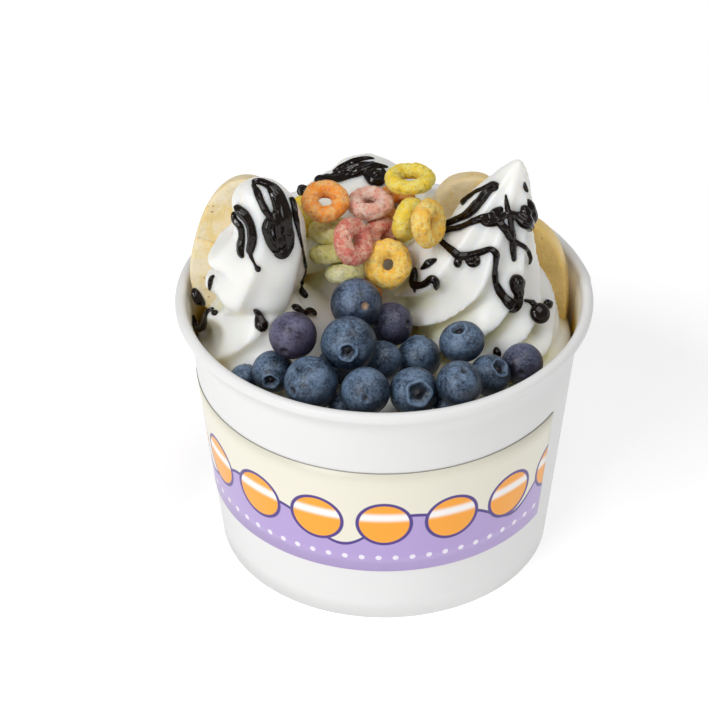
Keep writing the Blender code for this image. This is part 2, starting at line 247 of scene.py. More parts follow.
def rough(point, size, seed=0.0):
    """Smooth noise from -1 to 1 at a point, with lumps of about the given size."""
    return noise.noise(point / size + Vector((seed, 3.1 * seed, -1.7 * seed)))


def smoothstep(value, low, high):
    """0 below low, 1 above high, and a soft rise in between."""
    share = min(max((value - low) / (high - low), 0.0), 1.0)
    return share * share * (3 - 2 * share)


def bell(value, centre, width):
    """1 at the centre, falling off smoothly on either side."""
    return math.exp(-(((value - centre) / width) ** 2))


def along(stations, share):
    """The row at a share, from 0 to 1, of the way through a table, on a smooth curve through its rows."""
    spot = min(max(share, 0.0), 1.0) * (len(stations) - 1)
    first = min(int(spot), len(stations) - 2)
    t = spot - first
    a, b, c, d = (stations[min(max(first + step, 0), len(stations) - 1)] for step in (-1, 0, 1, 2))
    return [
        q + t / 2 * (r - p + t * (2 * p - 5 * q + 4 * r - s + t * (3 * (q - r) + s - p)))
        for p, q, r, s in zip(a, b, c, d)
    ]


def wrapped(around, lengthwise, place):
    """A closed tube: a grid wrapped so that place(u, v) gives the point at u round it and v along it."""
    bm = bmesh.new()
    bmesh.ops.create_grid(bm, x_segments=around, y_segments=lengthwise, size=0.5)
    for corner in bm.verts:
        corner.co = place(corner.co.x + 0.5, corner.co.y + 0.5)
    bmesh.ops.remove_doubles(bm, verts=bm.verts, dist=MERGE)
    bmesh.ops.holes_fill(bm, edges=bm.edges, sides=0)
    bmesh.ops.recalc_face_normals(bm, faces=bm.faces)
    return bm


def turned(outline, steps):
    """A closed outline of (radius, height) points spun round the cup's axis."""
    bm = bmesh.new()
    corners = [bm.verts.new((radius, 0, height)) for radius, height in outline]
    edges = [bm.edges.new(pair) for pair in zip(corners, corners[1:] + corners[:1])]
    bmesh.ops.spin(
        bm, geom=corners + edges, cent=(0, 0, 0), axis=(0, 0, 1), angle=math.tau, steps=steps, use_merge=True,
    )
    bmesh.ops.recalc_face_normals(bm, faces=bm.faces)
    return bm


def stacked(levels, segments):
    """A disc extruded through its levels of (radius, height) and closed."""
    radius, height = levels[0]
    bm = bmesh.new()
    corners = bmesh.ops.create_circle(bm, cap_ends=True, segments=segments, radius=radius)["verts"]
    bmesh.ops.translate(bm, verts=corners, vec=(0, 0, height))
    rim = bm.edges[:]
    for next_radius, next_height in levels[1:]:
        rim, corners = extrude_rim(bm, rim)
        spread = next_radius / radius
        bmesh.ops.scale(bm, verts=corners, vec=(spread, spread, 1))
        bmesh.ops.translate(bm, verts=corners, vec=(0, 0, next_height - height))
        radius, height = next_radius, next_height
    bmesh.ops.edgeloop_fill(bm, edges=rim)
    bmesh.ops.recalc_face_normals(bm, faces=bm.faces)
    return bm


def extrude_rim(bm, rim):
    """Extrudes an open rim on the spot, and returns the new rim and its corners."""
    made = bmesh.ops.extrude_edge_only(bm, edges=rim)["geom"]
    corners = [item for item in made if isinstance(item, bmesh.types.BMVert)]
    return [item for item in made if isinstance(item, bmesh.types.BMEdge)], corners


def mesh_from(bm, name):
    """Turns a bmesh into a mesh, and frees it."""
    mesh = bpy.data.meshes.new(name)
    bm.to_mesh(mesh)
    bm.free()
    return mesh


def linked(name, data):
    """A new object in the scene, with its data."""
    item = bpy.data.objects.new(name, data)
    bpy.context.scene.collection.objects.link(item)
    return item


def add_to(bm, other):
    """Puts another bmesh's shape into this one."""
    mesh = mesh_from(other, "part")
    bm.from_mesh(mesh)
    bpy.data.meshes.remove(mesh)


def fused(bm, voxel, smoothing):
    """One skin round everything in the bmesh, with details down to a voxel."""
    mesh = mesh_from(bm, "fusing")
    helper = linked("fusing", mesh)
    remesh = helper.modifiers.new("Remesh", "REMESH")
    remesh.mode = "VOXEL"
    remesh.voxel_size = voxel
    skin = bmesh.new()
    skin.from_object(helper, bpy.context.evaluated_depsgraph_get())
    bpy.data.objects.remove(helper)
    bpy.data.meshes.remove(mesh)
    for _ in range(smoothing):
        bmesh.ops.smooth_vert(
            skin, verts=skin.verts, factor=0.5, use_axis_x=True, use_axis_y=True, use_axis_z=True,
        )
    return skin


def add_piece(name, bm, material, slot, *nodes):
    """Makes a smooth piece from a bmesh.  It rides on the body and stands for its CAD nodes."""
    mesh = mesh_from(bm, name)
    mesh.shade_smooth()
    mesh.materials.append(material)
    piece = linked(name, mesh)
    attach(piece, BODY)
    if nodes:
        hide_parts(*nodes)
    return piece


def search_tree(pieces):
    """A search tree of several pieces' surfaces."""
    points, faces = [], []
    for piece in pieces:
        start = len(points)
        points += [corner.co.copy() for corner in piece.data.vertices]
        faces += [[start + index for index in face.vertices] for face in piece.data.polygons]
    return BVHTree.FromPolygons(points, faces)


def set_attribute(piece, name, values):
    """Stores one number for each of the piece's corners."""
    attribute = piece.data.attributes.new(name, "FLOAT", "POINT")
    attribute.data.foreach_set("value", np.asarray(values, np.float32))


Stance = namedtuple("Stance", "centre wide high out half_wide half_high half_thick")


def stance_of(node):
    """How a flat node stands: its centre, its axes and its half sizes.

    The out axis is the thinnest and points to the front.  The high axis is the longest and points up."""
    points = distinct_corners(node)
    middle = (points.max(0) + points.min(0)) / 2
    _, axes = np.linalg.eigh(np.cov((points - points.mean(0)).T))
    out, wide, high = (Vector(axes[:, index]) for index in (0, 1, 2))
    if out.y > 0:
        out.negate()
    if high.z < 0:
        high.negate()
    wide = high.cross(out)
    centre = Vector(middle)
    halves = []
    for axis in (wide, high, out):
        spots = (points - middle) @ np.array(axis)
        centre += axis * float(spots.max() + spots.min()) / 2
        halves.append(float(spots.max() - spots.min()) / 2)
    return Stance(centre, wide, high, out, *halves)


def facing(place, outward):
    """The matrix that puts a shape at a place, with its +Z turned outward."""
    return Matrix.Translation(place) @ outward.to_track_quat("Z", "Y").to_matrix().to_4x4()


def at_stance(bm, stance):
    """Puts a shape made at the origin, its face towards +Z, where the stance is."""
    turn = Matrix((stance.wide, stance.high, stance.out)).transposed()
    bmesh.ops.transform(bm, matrix=Matrix.Translation(stance.centre) @ turn.to_4x4(), verts=bm.verts)


# ----------------------------------------
# Finishes


class Number:
    """A shader socket that adds its Math nodes when it is used in a sum."""

    def __init__(self, finish, socket):
        self.finish = finish
        self.socket = socket

    def math(self, operation, *values):
        return self.finish.node("ShaderNodeMath", {"operation": operation}, dict(enumerate(values)))

    def __add__(self, other):
        return self.math("ADD", self, other)

    def __sub__(self, other):
        return self.math("SUBTRACT", self, other)

    def __mul__(self, other):
        return self.math("MULTIPLY", self, other)

    def __radd__(self, other):
        return self.math("ADD", other, self)

    def __rsub__(self, other):
        return self.math("SUBTRACT", other, self)

    def __rmul__(self, other):
        return self.math("MULTIPLY", other, self)

    def sine(self):
        return self.math("SINE", self)

    def size(self):
        return self.math("ABSOLUTE", self)

    def root(self):
        return self.math("SQRT", self)

    def spread(self, other):
        """How far a point is from the middle, given its two places across and up."""
        return (self * self + other * other).root()

    def swing(self, width):
        """Folds the number back and forth, rising from 0 to the width and falling again."""
        return self.math("PINGPONG", self, width)

    def step(self, low, high):
        """0 up to low, 1 from high on, and a soft rise in between."""
        return self.finish.node(
            "ShaderNodeMapRange", {"interpolation_type": "SMOOTHSTEP", "clamp": True},
            {"Value": self, "From Min": low, "From Max": high, "To Min": 0.0, "To Max": 1.0},
        )


class Finish:
    """One material in the making: its node tree and its Principled shader."""

    def __init__(self, name, **constants):
        self.material = bpy.data.materials.new(name)
        self.material.use_nodes = True
        self.tree = self.material.node_tree
        self.shader = self.tree.nodes["Principled BSDF"]
        for key, value in constants.items():
            self.shader.inputs[key.replace("_", " ").title().replace("Ior", "IOR")].default_value = value

    def node(self, kind, settings, sockets, output=0):
        """Makes a node, its settings first and then its sockets' values or links, and returns an output."""
        made = self.tree.nodes.new(kind)
        for key, value in settings.items():
            setattr(made, key, value)
        for key, value in sockets.items():
            if isinstance(value, Number):
                self.tree.links.new(value.socket, made.inputs[key])
            else:
                made.inputs[key].default_value = value
        return Number(self, made.outputs[output])

    def place(self):
        """Object coordinates, in metres."""
        return self.node("ShaderNodeTexCoord", {}, {}, "Object")

    def own(self, name, output="Fac"):
        """An attribute that the piece carries."""
        return self.node("ShaderNodeAttribute", {"attribute_name": name}, {}, output)

    def parts(self, vector):
        """The three numbers of a vector."""
        split = self.node("ShaderNodeSeparateXYZ", {}, {0: vector}).socket.node
        return [Number(self, output) for output in split.outputs]

    def lumps(self, size, detail=2.0, roughness=0.5):
        """Noise from 0 to 1 with lumps of about the given size in metres."""
        return self.node(
            "ShaderNodeTexNoise", {},
            {"Vector": self.place(), "Scale": 1 / size, "Detail": detail, "Roughness": roughness},
        )

    def cells(self, size):
        """Distance from the nearest of scattered points about one size apart, in sizes."""
        sockets = {"Vector": self.place(), "Scale": 1 / size}
        return self.node("ShaderNodeTexVoronoi", {}, sockets, "Distance")

    def mix(self, factor, low, high):
        """A colour between two others."""
        sockets = {0: factor, 6: opaque(low), 7: opaque(high)}
        return self.node("ShaderNodeMix", {"data_type": "RGBA"}, sockets, 2)

    def bump(self, height, distance):
        """Relief from a height, in the shader's normal."""
        sockets = {"Height": height, "Distance": distance, "Strength": 1.0}
        self.feed("Normal", self.node("ShaderNodeBump", {}, sockets, "Normal"))

    def feed(self, socket, value):
        """Links a value that changes over the surface to one of the shader's sockets."""
        self.tree.links.new(value.socket, self.shader.inputs[socket])


def opaque(value):
    """A colour with its alpha, or a socket as it is."""
    return value if isinstance(value, Number) else (*value, 1.0)


def scaled(value, factor):
    """A colour made lighter or darker."""
    return tuple(min(part * factor, 1.0) for part in value)


# The heights between which the painted warm shade low inside the wall fades out.
LINING_SHADE_FADE = (66 * MM, 74 * MM)


def paper_finish(settings):
    """Coated white paperboard: hardly any mottling and a soft sheen; inside, a painted warm reflection and
    painted warm shade low down.
    """
    finish = Finish(
        "coated paper", roughness=0.42, specular_ior_level=0.25, coat_weight=0.04, coat_roughness=0.25,
    )
    fibres = finish.lumps(1.3 * MM, 4.0, 0.6)
    clouds = finish.lumps(14 * MM, 2.0)
    white = settings.paper_colour
    tone = finish.mix(clouds, scaled(white, 0.985), scaled(white, 1.012))
    tone = finish.mix(fibres.step(0.62, 0.78) * 0.25, tone, scaled(white, 0.965))
    x, y, z = finish.parts(finish.place())
    inside = 1 - (x.spread(y) - z * WALL_SLOPE).step(FOOT_RADIUS - 0.5 * MM, FOOT_RADIUS - 0.2 * MM)
    # Painted shade: low down near the yogurt the inner side turns golden-brown, standing in for the warm
    # shadow in the gap by the wall.
    lining_shade_share = 1 - (z + clouds * 3 * MM).step(*LINING_SHADE_FADE)
    # The inner side's colour carries a painted warm reflection of the food, with the painted shade low down.
    lining_with_bounce = finish.mix(lining_shade_share, settings.lining_with_bounce, settings.lining_shade)
    finish.feed("Base Color", finish.mix(inside * z.step(FLOOR_TOP, 2 * FLOOR_TOP), tone, lining_with_bounce))
    finish.bump(fibres + clouds * 3.0, 0.03 * MM)
    return finish.material


# The print's sizes, in millimetres along the wall and up from the band's lower edge.
PRINT_BLUR = 0.16
LINE_HALF = 0.55
WAVE_LEVEL = 16.5
SWELL_LENGTH, SWELL_HEIGHT = 52, 5.2
RIPPLE_LENGTH, RIPPLE_HEIGHT, RIPPLE_SHIFT = 26, 1.6, 1.1
DISC_PITCH, DISC_LEVEL, DISC_RADIUS, RIM_RADIUS = 19.0, 18.0, 6.9, 7.9
SHINE_LEVEL, SHINE_EDGE, SHINE_FADE = 2.4, 0.4, 2.2
DOT_HALF_PITCH, DOT_LEVEL, DOT_RADIUS = 2.4, 5.2, 0.85
FAR_ROUND = 1000.0
SHINE_WHITE = (0.93, 0.90, 0.88)
DOT_WHITE = (0.80, 0.76, 0.86)
EDGE_GREY = (0.14, 0.13, 0.11)


def band_finish(settings, span):
    """The print: cream over a lilac wave, with a row of discs and a row of dots."""
    finish = Finish("printed paper", roughness=0.34, coat_weight=0.2, coat_roughness=0.2)
    print_along, print_up, _ = finish.parts(finish.own("print", "Vector"))

    def within(distance, limit):
        return 1 - distance.step(limit - PRINT_BLUR, limit + PRINT_BLUR)

    swell = (print_along * (math.tau / SWELL_LENGTH)).sine() * SWELL_HEIGHT
    ripple = (print_along * (math.tau / RIPPLE_LENGTH) + RIPPLE_SHIFT).sine() * RIPPLE_HEIGHT
    over_wave = print_up - (WAVE_LEVEL + swell + ripple)
    ground = finish.mix(within(over_wave, 0.0), settings.cream, settings.lilac)
    ground = finish.mix(within(over_wave.size(), LINE_HALF), ground, settings.violet)
    disc_up = print_up - DISC_LEVEL
    spread = (print_along + FAR_ROUND * DISC_PITCH).swing(DISC_PITCH / 2).spread(disc_up)
    shine = 1 - (disc_up - SHINE_LEVEL).size().step(SHINE_EDGE, SHINE_FADE)
    face = finish.mix(shine, settings.orange, SHINE_WHITE)
    ground = finish.mix(within(spread, RIM_RADIUS), ground, settings.violet)
    ground = finish.mix(within(spread, DISC_RADIUS), ground, face)
    dot_spread = (print_along + FAR_ROUND).swing(DOT_HALF_PITCH).spread(print_up - DOT_LEVEL)
    ground = finish.mix(within(dot_spread, DOT_RADIUS), ground, DOT_WHITE)
    at_top = print_up.step(span - 0.26, span - 0.12)
    finish.feed("Base Color", finish.mix(at_top * 0.8, ground, EDGE_GREY))
    finish.bump(finish.lumps(1.3 * MM, 4.0, 0.6), 0.02 * MM)
    return finish.material


def yogurt_finish(settings):
    """Soft frozen yogurt: white and a little see-through, with painted shade in warmer, darker tones deep in
    its folds and amber low by the wall.
    """
    finish = Finish(
        "frozen yogurt", roughness=0.34, subsurface_weight=0.85, subsurface_scale=4.5 * MM,
        subsurface_radius=(1.0, 0.85, 0.6), coat_weight=0.08, coat_roughness=0.2,
    )
    clouds = finish.lumps(9 * MM, 2.0)
    white = finish.mix(clouds, scaled(settings.white, 0.985), scaled(settings.white, 1.01))
    # Painted shade: the more hidden a corner, the more its white turns to the crease and deep gap colours.
    folds = finish.own("crease_shade") + (clouds - 0.5) * 0.15
    tone = finish.mix(folds.step(0.10, 0.62) * 0.70, white, settings.crease_shade)
    tone = finish.mix(folds.step(0.60, 0.95) * 0.75, tone, settings.deep_gap_shade)
    # Painted shade: amber low by the wall, in the gap's shadow.
    finish.feed("Base Color", finish.mix(finish.own("amber"), tone, settings.amber))
    finish.bump(finish.lumps(2.2 * MM, 3.0, 0.55), 0.06 * MM)
    return finish.material


PALE_FLESH = (0.90, 0.84, 0.66)


def banana_finish(settings, warmth, crack):
    """Moist cut banana: pale patchy flesh, a yellower core, specks and, on one slice, a crack."""
    finish = Finish(
        "cut banana", roughness=0.40, subsurface_weight=0.25, subsurface_scale=1.5 * MM,
        subsurface_radius=(1.0, 0.7, 0.3),
    )
    across, up, _ = finish.parts(finish.own("slice", "Vector"))
    spread = across.spread(up)
    clouds = finish.lumps(6.5 * MM, 3.0, 0.6)
    mottle = finish.lumps(2.6 * MM, 3.0, 0.6)
    grain = finish.lumps(0.8 * MM, 3.0, 0.65)
    flesh = finish.mix((clouds * 0.6 + mottle * 0.4).step(0.44, 0.62), settings.flesh, settings.patch)
    core = 1 - (spread + (mottle - 0.5) * 0.5).step(0.10, 0.85)
    tone = finish.mix(core * 0.45 + warmth, flesh, settings.core)
    tone = finish.mix(grain.step(0.52, 0.72) * 0.22, tone, scaled(settings.core, 0.85))
    specks = (1 - finish.cells(3.0 * MM).step(0.06, 0.15)) * clouds.step(0.44, 0.56)
    groove = up + 0.03 + (mottle - 0.5) * 0.05
    line = 1 - groove.size().step(0.006, 0.030)
    tone = finish.mix(specks * 0.75, tone, settings.fleck)
    tone = finish.mix(line * crack * 0.30, tone, settings.core)
    tone = finish.mix((1 - groove.step(-0.03, 0.01)) * crack * 0.18, tone, PALE_FLESH)
    finish.feed("Base Color", finish.mix(spread.step(0.93, 1.0) * 0.25, tone, settings.core))
    finish.bump(grain * 0.9 + mottle * 1.6 - line * crack * 1.2, 0.24 * MM)
    return finish.material


PIT_DARK = (0.006, 0.007, 0.012)


def blueberry_finish(settings, ripeness, scar):
    """Blueberry skin: dark under a patchy waxy bloom, with painted light making the bloom thicker on the side
    towards the lights, nearly black in the crown, and the stem's scar.
    """
    finish = Finish("blueberry skin", roughness=0.5, specular_ior_level=0.38)
    patches = finish.lumps(5.5 * MM, 3.0, 0.6)
    grain = finish.lumps(0.8 * MM, 4.0, 0.75)
    specks = finish.cells(0.9 * MM)
    # Painted light: the bloom's patches are real, but the bloom is painted thick on the side facing the
    # lights and thin on the shaded underside.
    bloom_and_light = (patches * 0.9 + grain * 1.1 - 0.50).step(0.22, 0.78) * (0.12 + finish.own("lit_side") * 0.88)
    skin = finish.mix(ripeness, settings.skin, scaled(settings.purple, 0.35))
    bloom = finish.mix(ripeness * 0.8, settings.bloom, scaled(settings.purple, 1.5))
    tone = finish.mix(bloom_and_light, skin, bloom)
    tone = finish.mix((1 - specks.step(0.10, 0.26)) * 0.45, tone, scaled(settings.skin, 0.6))
    tone = finish.mix(finish.own("lip") * 0.55, tone, scaled(settings.bloom, 1.5))
    tone = finish.mix(finish.own("pit"), tone, PIT_DARK)
    finish.feed("Base Color", finish.mix(finish.own("scar"), tone, scar))
    finish.feed("Roughness", 0.34 + bloom_and_light * 0.16)
    finish.bump(grain + specks * 0.4, 0.05 * MM)
    return finish.material


SUGAR = (0.93, 0.90, 0.82)


def cereal_finish(name, crust, patch, speck):
    """Sugared cereal: a porous crust in two tones with darker specks and painted shade in its pores, all
    under pale grains of sugar.
    """
    finish = Finish(
        name, roughness=0.82, subsurface_weight=0.12, subsurface_scale=0.8 * MM,
        subsurface_radius=(1.0, 0.6, 0.3),
    )
    patches = finish.lumps(2.6 * MM, 3.0, 0.6)
    grain = finish.lumps(0.55 * MM, 3.0, 0.7)
    grains = finish.cells(0.55 * MM)
    tone = finish.mix(patches.step(0.42, 0.60), crust, patch)
    dots = (1 - finish.cells(1.3 * MM).step(0.12, 0.30)) * patches.step(0.35, 0.55)
    tone = finish.mix(dots * 0.85, tone, speck)
    # Painted shade: the crust darkens in its pores.
    tone = finish.mix(finish.own("hollow") * 0.75, tone, scaled(crust, 0.62))
    sugar = (1 - grains.step(0.20, 0.50)) * grain.step(0.38, 0.56)
    finish.feed("Base Color", finish.mix(sugar * 0.38, tone, SUGAR))
    finish.bump(grain * 1.4 + sugar * 0.3, 0.26 * MM)
    return finish.material


def sauce_finish(settings):
    """Thick glossy chocolate sauce."""
    finish = Finish("chocolate sauce", roughness=0.06, specular_ior_level=0.30)
    thin = finish.lumps(3 * MM, 2.0)
    finish.feed("Base Color", finish.mix(thin.step(0.55, 0.85), settings.brown, scaled(settings.brown, 2.6)))
    finish.bump(finish.lumps(2.4 * MM, 1.0), 0.25 * MM)
    return finish.material


# ----------------------------------------
# The paper cup

CUP_STEPS = 168
SEAM_HEADING = 98
SEAM_STEP = 0.35 * MM
SEAM_FADE = 9
SEAM_RADII = (40 * MM, 44 * MM)
WALL_ROWS = 10
LIP_POINTS = 18
LIP_ARC_START = -112
LIP_ARC = 292
PAPER_GAP = 0.3 * MM


def wall_radius(settings, height, layers_in=0):
    """The wall's outer radius at a height, moved in by whole paper layers with their small gaps."""
    return FOOT_RADIUS + WALL_SLOPE * height - layers_in * (settings.paper + PAPER_GAP)


def lapped(bm):
    """Raises the wall's side seam: one edge of the paper lies over the other and fades into the round."""
    for corner in bm.verts:
        heading = math.degrees(math.atan2(corner.co.x, -corner.co.y))
        past = (heading - SEAM_HEADING) % 360
        if past < SEAM_FADE:
            spread = math.hypot(corner.co.x, corner.co.y)
            lift = SEAM_STEP * (1 - past / SEAM_FADE) * smoothstep(spread, *SEAM_RADII)
            corner.co.xy *= (spread + lift) / spread


def make_cup(settings):
    """The wall with its rolled lip, folded foot and side seam, and the floor disc with its skirt."""
    paper = settings.paper
    roll = settings.lip_roll / 2
    lip_low = CUP_HEIGHT - settings.lip_roll
    centre = Vector((LIP_RADIUS - roll, CUP_HEIGHT - roll))
    heights = [lip_low * row / WALL_ROWS for row in range(WALL_ROWS + 1)]
    outline = [(wall_radius(settings, height), height) for height in heights]
    for point in range(LIP_POINTS + 1):
        turn = math.radians(LIP_ARC_START + LIP_ARC * point / LIP_POINTS)
        outline.append(tuple(centre + roll * Vector((math.cos(turn), math.sin(turn)))))
    fold_top = FLOOR_TOP - paper - PAPER_GAP
    outline += [(wall_radius(settings, height) - paper, height) for height in reversed(heights[1:])]
    outline += [
        (wall_radius(settings, paper) - paper, paper),
        (wall_radius(settings, paper, 2), paper),
        (wall_radius(settings, fold_top, 2), fold_top),
        (wall_radius(settings, fold_top, 2) - paper, fold_top),
        (wall_radius(settings, 0, 2) - paper, 0),
    ]
    wall = turned(outline, CUP_STEPS)
    lapped(wall)
    finish = paper_finish(settings)
    add_piece("paper_wall", wall, finish, "paper", "cup_wall")
    skirt_foot = paper + PAPER_GAP
    under = FLOOR_TOP - paper
    levels = (
        (wall_radius(settings, FLOOR_TOP, 1), FLOOR_TOP),
        (wall_radius(settings, skirt_foot, 1), skirt_foot),
        (wall_radius(settings, skirt_foot, 1) - paper, skirt_foot),
        (wall_radius(settings, under, 1) - paper, under),
    )
    floor = stacked(levels, CUP_STEPS)
    add_piece("paper_floor", floor, finish, "paper", "cup_floor")


# ----------------------------------------
# The printed band

BAND_END = 62
BAND_SWEEP = 300
BAND_COLUMNS = 220
BAND_ROWS = 6
BAND_STAND_OFF = 0.06 * MM
BAND_THICKNESS = 0.14 * MM


def make_band(band, cup):
    """A thin printed sheet that lies round the wall from its right-hand end."""
    bm = bmesh.new()
    bmesh.ops.create_grid(bm, x_segments=BAND_COLUMNS, y_segments=BAND_ROWS, size=0.5)
    layer = bm.verts.layers.float_vector.new("print")
    middle = wall_radius(cup, (band.bottom + band.top) / 2)
    for corner in bm.verts:
        heading = BAND_END - BAND_SWEEP * (0.5 - corner.co.x)
        height = band.bottom + (band.top - band.bottom) * (corner.co.y + 0.5)
        spread = wall_radius(cup, height) + BAND_STAND_OFF
        corner[layer] = (math.radians(heading) * middle / MM, (height - band.bottom) / MM, 0)
        corner.co = direction(heading, 0) * spread + Vector((0, 0, height))
    bmesh.ops.recalc_face_normals(bm, faces=bm.faces)
    if bm.faces[:][0].normal.dot(bm.faces[:][0].calc_center_median()) < 0:
        bmesh.ops.reverse_faces(bm, faces=bm.faces)
    bmesh.ops.solidify(bm, geom=bm.faces[:], thickness=-BAND_THICKNESS)
    add_piece("printed_band", bm, band_finish(band, (band.top - band.bottom) / MM), "label")


# ----------------------------------------
# The frozen yogurt

POINTS_PER_LOBE = 26
SWIRL_LEVELS = 130
SKIN_FOOT = 60 * MM
FILLING_EDGE = 63.5 * MM
FILLING_SHOULDER = ((0.8 * MM, 65.4 * MM), (2.5 * MM, 66.4 * MM))
FILLING_TOP = 67.0 * MM
FILLING_SHARES = (9, 8, 7, 6, 5, 4, 3, 2, 1, 0.2)
FILLING_STEPS = 96
UNEVEN_FROM = 65 * MM
OPEN_FROM = 66 * MM
AMBER_TOP, AMBER_FADE = 70.5 * MM, 3 * MM
SHELTER_START = 0.3 * MM
SHELTER_REACH = 14 * MM
SHELTER_EVENING = 8

# Each station of a swirl gives its height, its centre (x, y), its radius, the turn of its first ridge in
# degrees, how deep the hollows between ridges are, and how far a hollow leans under the ridge beside it (1 is
# even).  Each swell is a lump on its side: a heading, a height, how far it stands out, and its spread in
# degrees and mm.
# A swirl's softness is how round its ridges are, from 0, an edge, to 1.
Swirl = namedtuple("Swirl", "lobes softness stations swells")

SWIRLS = {
    "swirl_left": Swirl(6, 0.65, (
        (63.0, -33.0, -8.0, 23.0, -222, 0.16, 0.60),
        (67.0, -33.0, -8.0, 21.5, -208, 0.17, 0.60),
        (71.0, -33.0, -8.0, 20.0, -192, 0.17, 0.60),
        (75.0, -33.0, -8.0, 18.6, -176, 0.16, 0.60),
        (79.0, -33.3, -8.0, 17.0, -160, 0.13, 0.60),
        (82.5, -33.8, -8.0, 14.6, -140, 0.14, 0.50),
        (84.8, -34.2, -8.0, 13.2, -119, 0.13, 0.55),
        (87.0, -34.5, -8.0, 14.4, -110, 0.12, 0.55),
        (91.0, -34.7, -8.0, 14.2, -104, 0.12, 0.60),
        (97.0, -34.4, -8.0, 12.9, -96, 0.11, 0.70),
        (103.0, -33.4, -7.8, 11.0, -90, 0.10, 0.80),
        (108.0, -33.0, -7.8, 9.6, -86, 0.09, 0.90),
        (112.5, -33.2, -7.8, 8.5, -82, 0.08, 1.00),
        (116.2, -33.6, -7.8, 6.8, -79, 0.06, 1.00),
        (118.6, -33.8, -7.8, 4.4, -77, 0.03, 1.00),
        (119.8, -33.8, -7.8, 0.6, -76, 0.02, 1.00),
    ), (
        (90, 106.0, 2.2, 55, 10.0),
        (-90, 105.0, -2.4, 45, 4.0),
        (-90, 93.5, -2.8, 40, 2.0),
        (-90, 97.0, 1.6, 40, 2.5),
        (-92, 82.0, -5.0, 36, 2.0),
        (92, 85.0, -3.6, 42, 4.5),
        (108, 73.0, 4.5, 34, 5.5),
        (-72, 70.0, -4.2, 48, 8.0),
        (0, 66.0, 6.0, 34, 8.0),
    )),
    "swirl_right": Swirl(8, 0.10, (
        (64.0, 27.0, -0.5, 20.5, -205, 0.16, 0.45),
        (69.0, 27.0, -0.5, 21.8, -180, 0.20, 0.40),
        (75.0, 26.8, -0.5, 22.0, -149, 0.22, 0.40),
        (80.0, 26.4, -0.4, 20.6, -124, 0.22, 0.42),
        (85.0, 26.3, -0.3, 18.4, -104, 0.20, 0.50),
        (90.0, 27.3, 0.0, 16.8, -93.5, 0.18, 0.65),
        (98.0, 29.0, 0.6, 13.8, -89, 0.17, 0.85),
        (105.0, 31.0, 1.0, 11.0, -86, 0.18, 0.95),
        (113.0, 33.7, 1.6, 6.7, -83, 0.18, 1.00),
        (118.0, 35.4, 1.9, 3.3, -81, 0.16, 1.00),
        (120.2, 36.2, 2.0, 1.2, -80, 0.10, 1.00),
        (120.8, 36.4, 2.0, 0.3, -80, 0.05, 1.00),
    ), (
        (92, 97.0, -1.8, 50, 14.0),
        (-82, 92.5, 7.0, 30, 6.5),
        (42, 69.0, 2.8, 34, 4.0),
        (-82, 77.0, 3.6, 15, 5.0),
    )),
    "swirl_back": Swirl(7, 0.25, (
        (64.0, -5.0, 20.5, 23.0, -160, 0.14, 0.45),
        (70.0, -5.0, 20.5, 26.0, -140, 0.16, 0.40),
        (76.0, -5.0, 20.5, 26.0, -112, 0.18, 0.40),
        (81.0, -5.0, 20.8, 23.6, -86, 0.18, 0.42),
        (85.5, -5.0, 21.5, 20.0, -62, 0.16, 0.50),
        (88.5, -5.0, 22.2, 17.6, -48, 0.14, 0.55),
        (92.0, -5.0, 23.5, 17.2, -38, 0.14, 0.60),
        (95.5, -5.0, 24.8, 15.0, -30, 0.13, 0.70),
        (99.0, -4.9, 25.8, 11.6, -24, 0.12, 0.85),
        (102.4, -4.8, 26.4, 7.4, -20, 0.10, 1.00),
        (104.4, -4.8, 26.6, 3.6, -18, 0.06, 1.00),
        (105.2, -4.8, 26.6, 0.6, -17, 0.03, 1.00),
    ), (
        (-92, 94.0, 2.8, 32, 6.0),
        (-27, 76.0, 5.0, 26, 6.0),
    )),
}


def swirl_point(swirl, around, upward):
    """A point on a swirl: around is the share of a full turn, and upward the share of its stations."""
    height, x, y, radius, turn, depth, lean = along(swirl.stations, upward)
    across_lobe = around * swirl.lobes % 1.0
    edged = math.sin(math.pi * across_lobe ** max(lean, 0.2))
    hollow = edged + swirl.softness * (edged * edged - edged)
    angle = math.radians(turn) + math.tau * around
    spread = max(radius, 0.05) * (1 - depth * hollow)
    heading = math.degrees(angle) + 90
    for swell_heading, swell_height, stand_out, wide, tall in swirl.swells:
        off = (heading - swell_heading + 180) % 360 - 180
        spread += stand_out * math.exp(-((off / wide) ** 2) - ((height - swell_height) / tall) ** 2)
    return Vector((x + spread * math.cos(angle), y + spread * math.sin(angle), height)) * MM


def make_swirl(swirl):
    """A soft-serve swirl whose ridges turn quickly in its broad foot and climb steeply to its tip."""
    around = swirl.lobes * POINTS_PER_LOBE
    return wrapped(around, SWIRL_LEVELS, lambda u, v: swirl_point(swirl, u, v))


def yogurt_reach(height):
    """How far from the cup's axis the yogurt may reach at a height, just inside the wall."""
    return YOGURT_FOOT_RADIUS + YOGURT_SLOPE * (height - YOGURT_FOOT)


def make_filling():
    """The top of the yogurt that fills the cup, uneven and dipping at the wall."""
    levels = [(yogurt_reach(height), height) for height in (SKIN_FOOT - 4 * MM, FILLING_EDGE)]
    edge = levels[-1][0]
    levels += [(edge - inward, height) for inward, height in FILLING_SHOULDER]
    levels += [(edge * share / 10, FILLING_TOP) for share in FILLING_SHARES]
    bm = stacked(levels, FILLING_STEPS)
    for corner in bm.verts:
        if corner.co.z > UNEVEN_FROM:
            swell = 0.5 * MM * rough(corner.co, 11 * MM, 2.0)
            corner.co.z += swell + 0.2 * MM * rough(corner.co, 4 * MM, 5.0)
    return bm


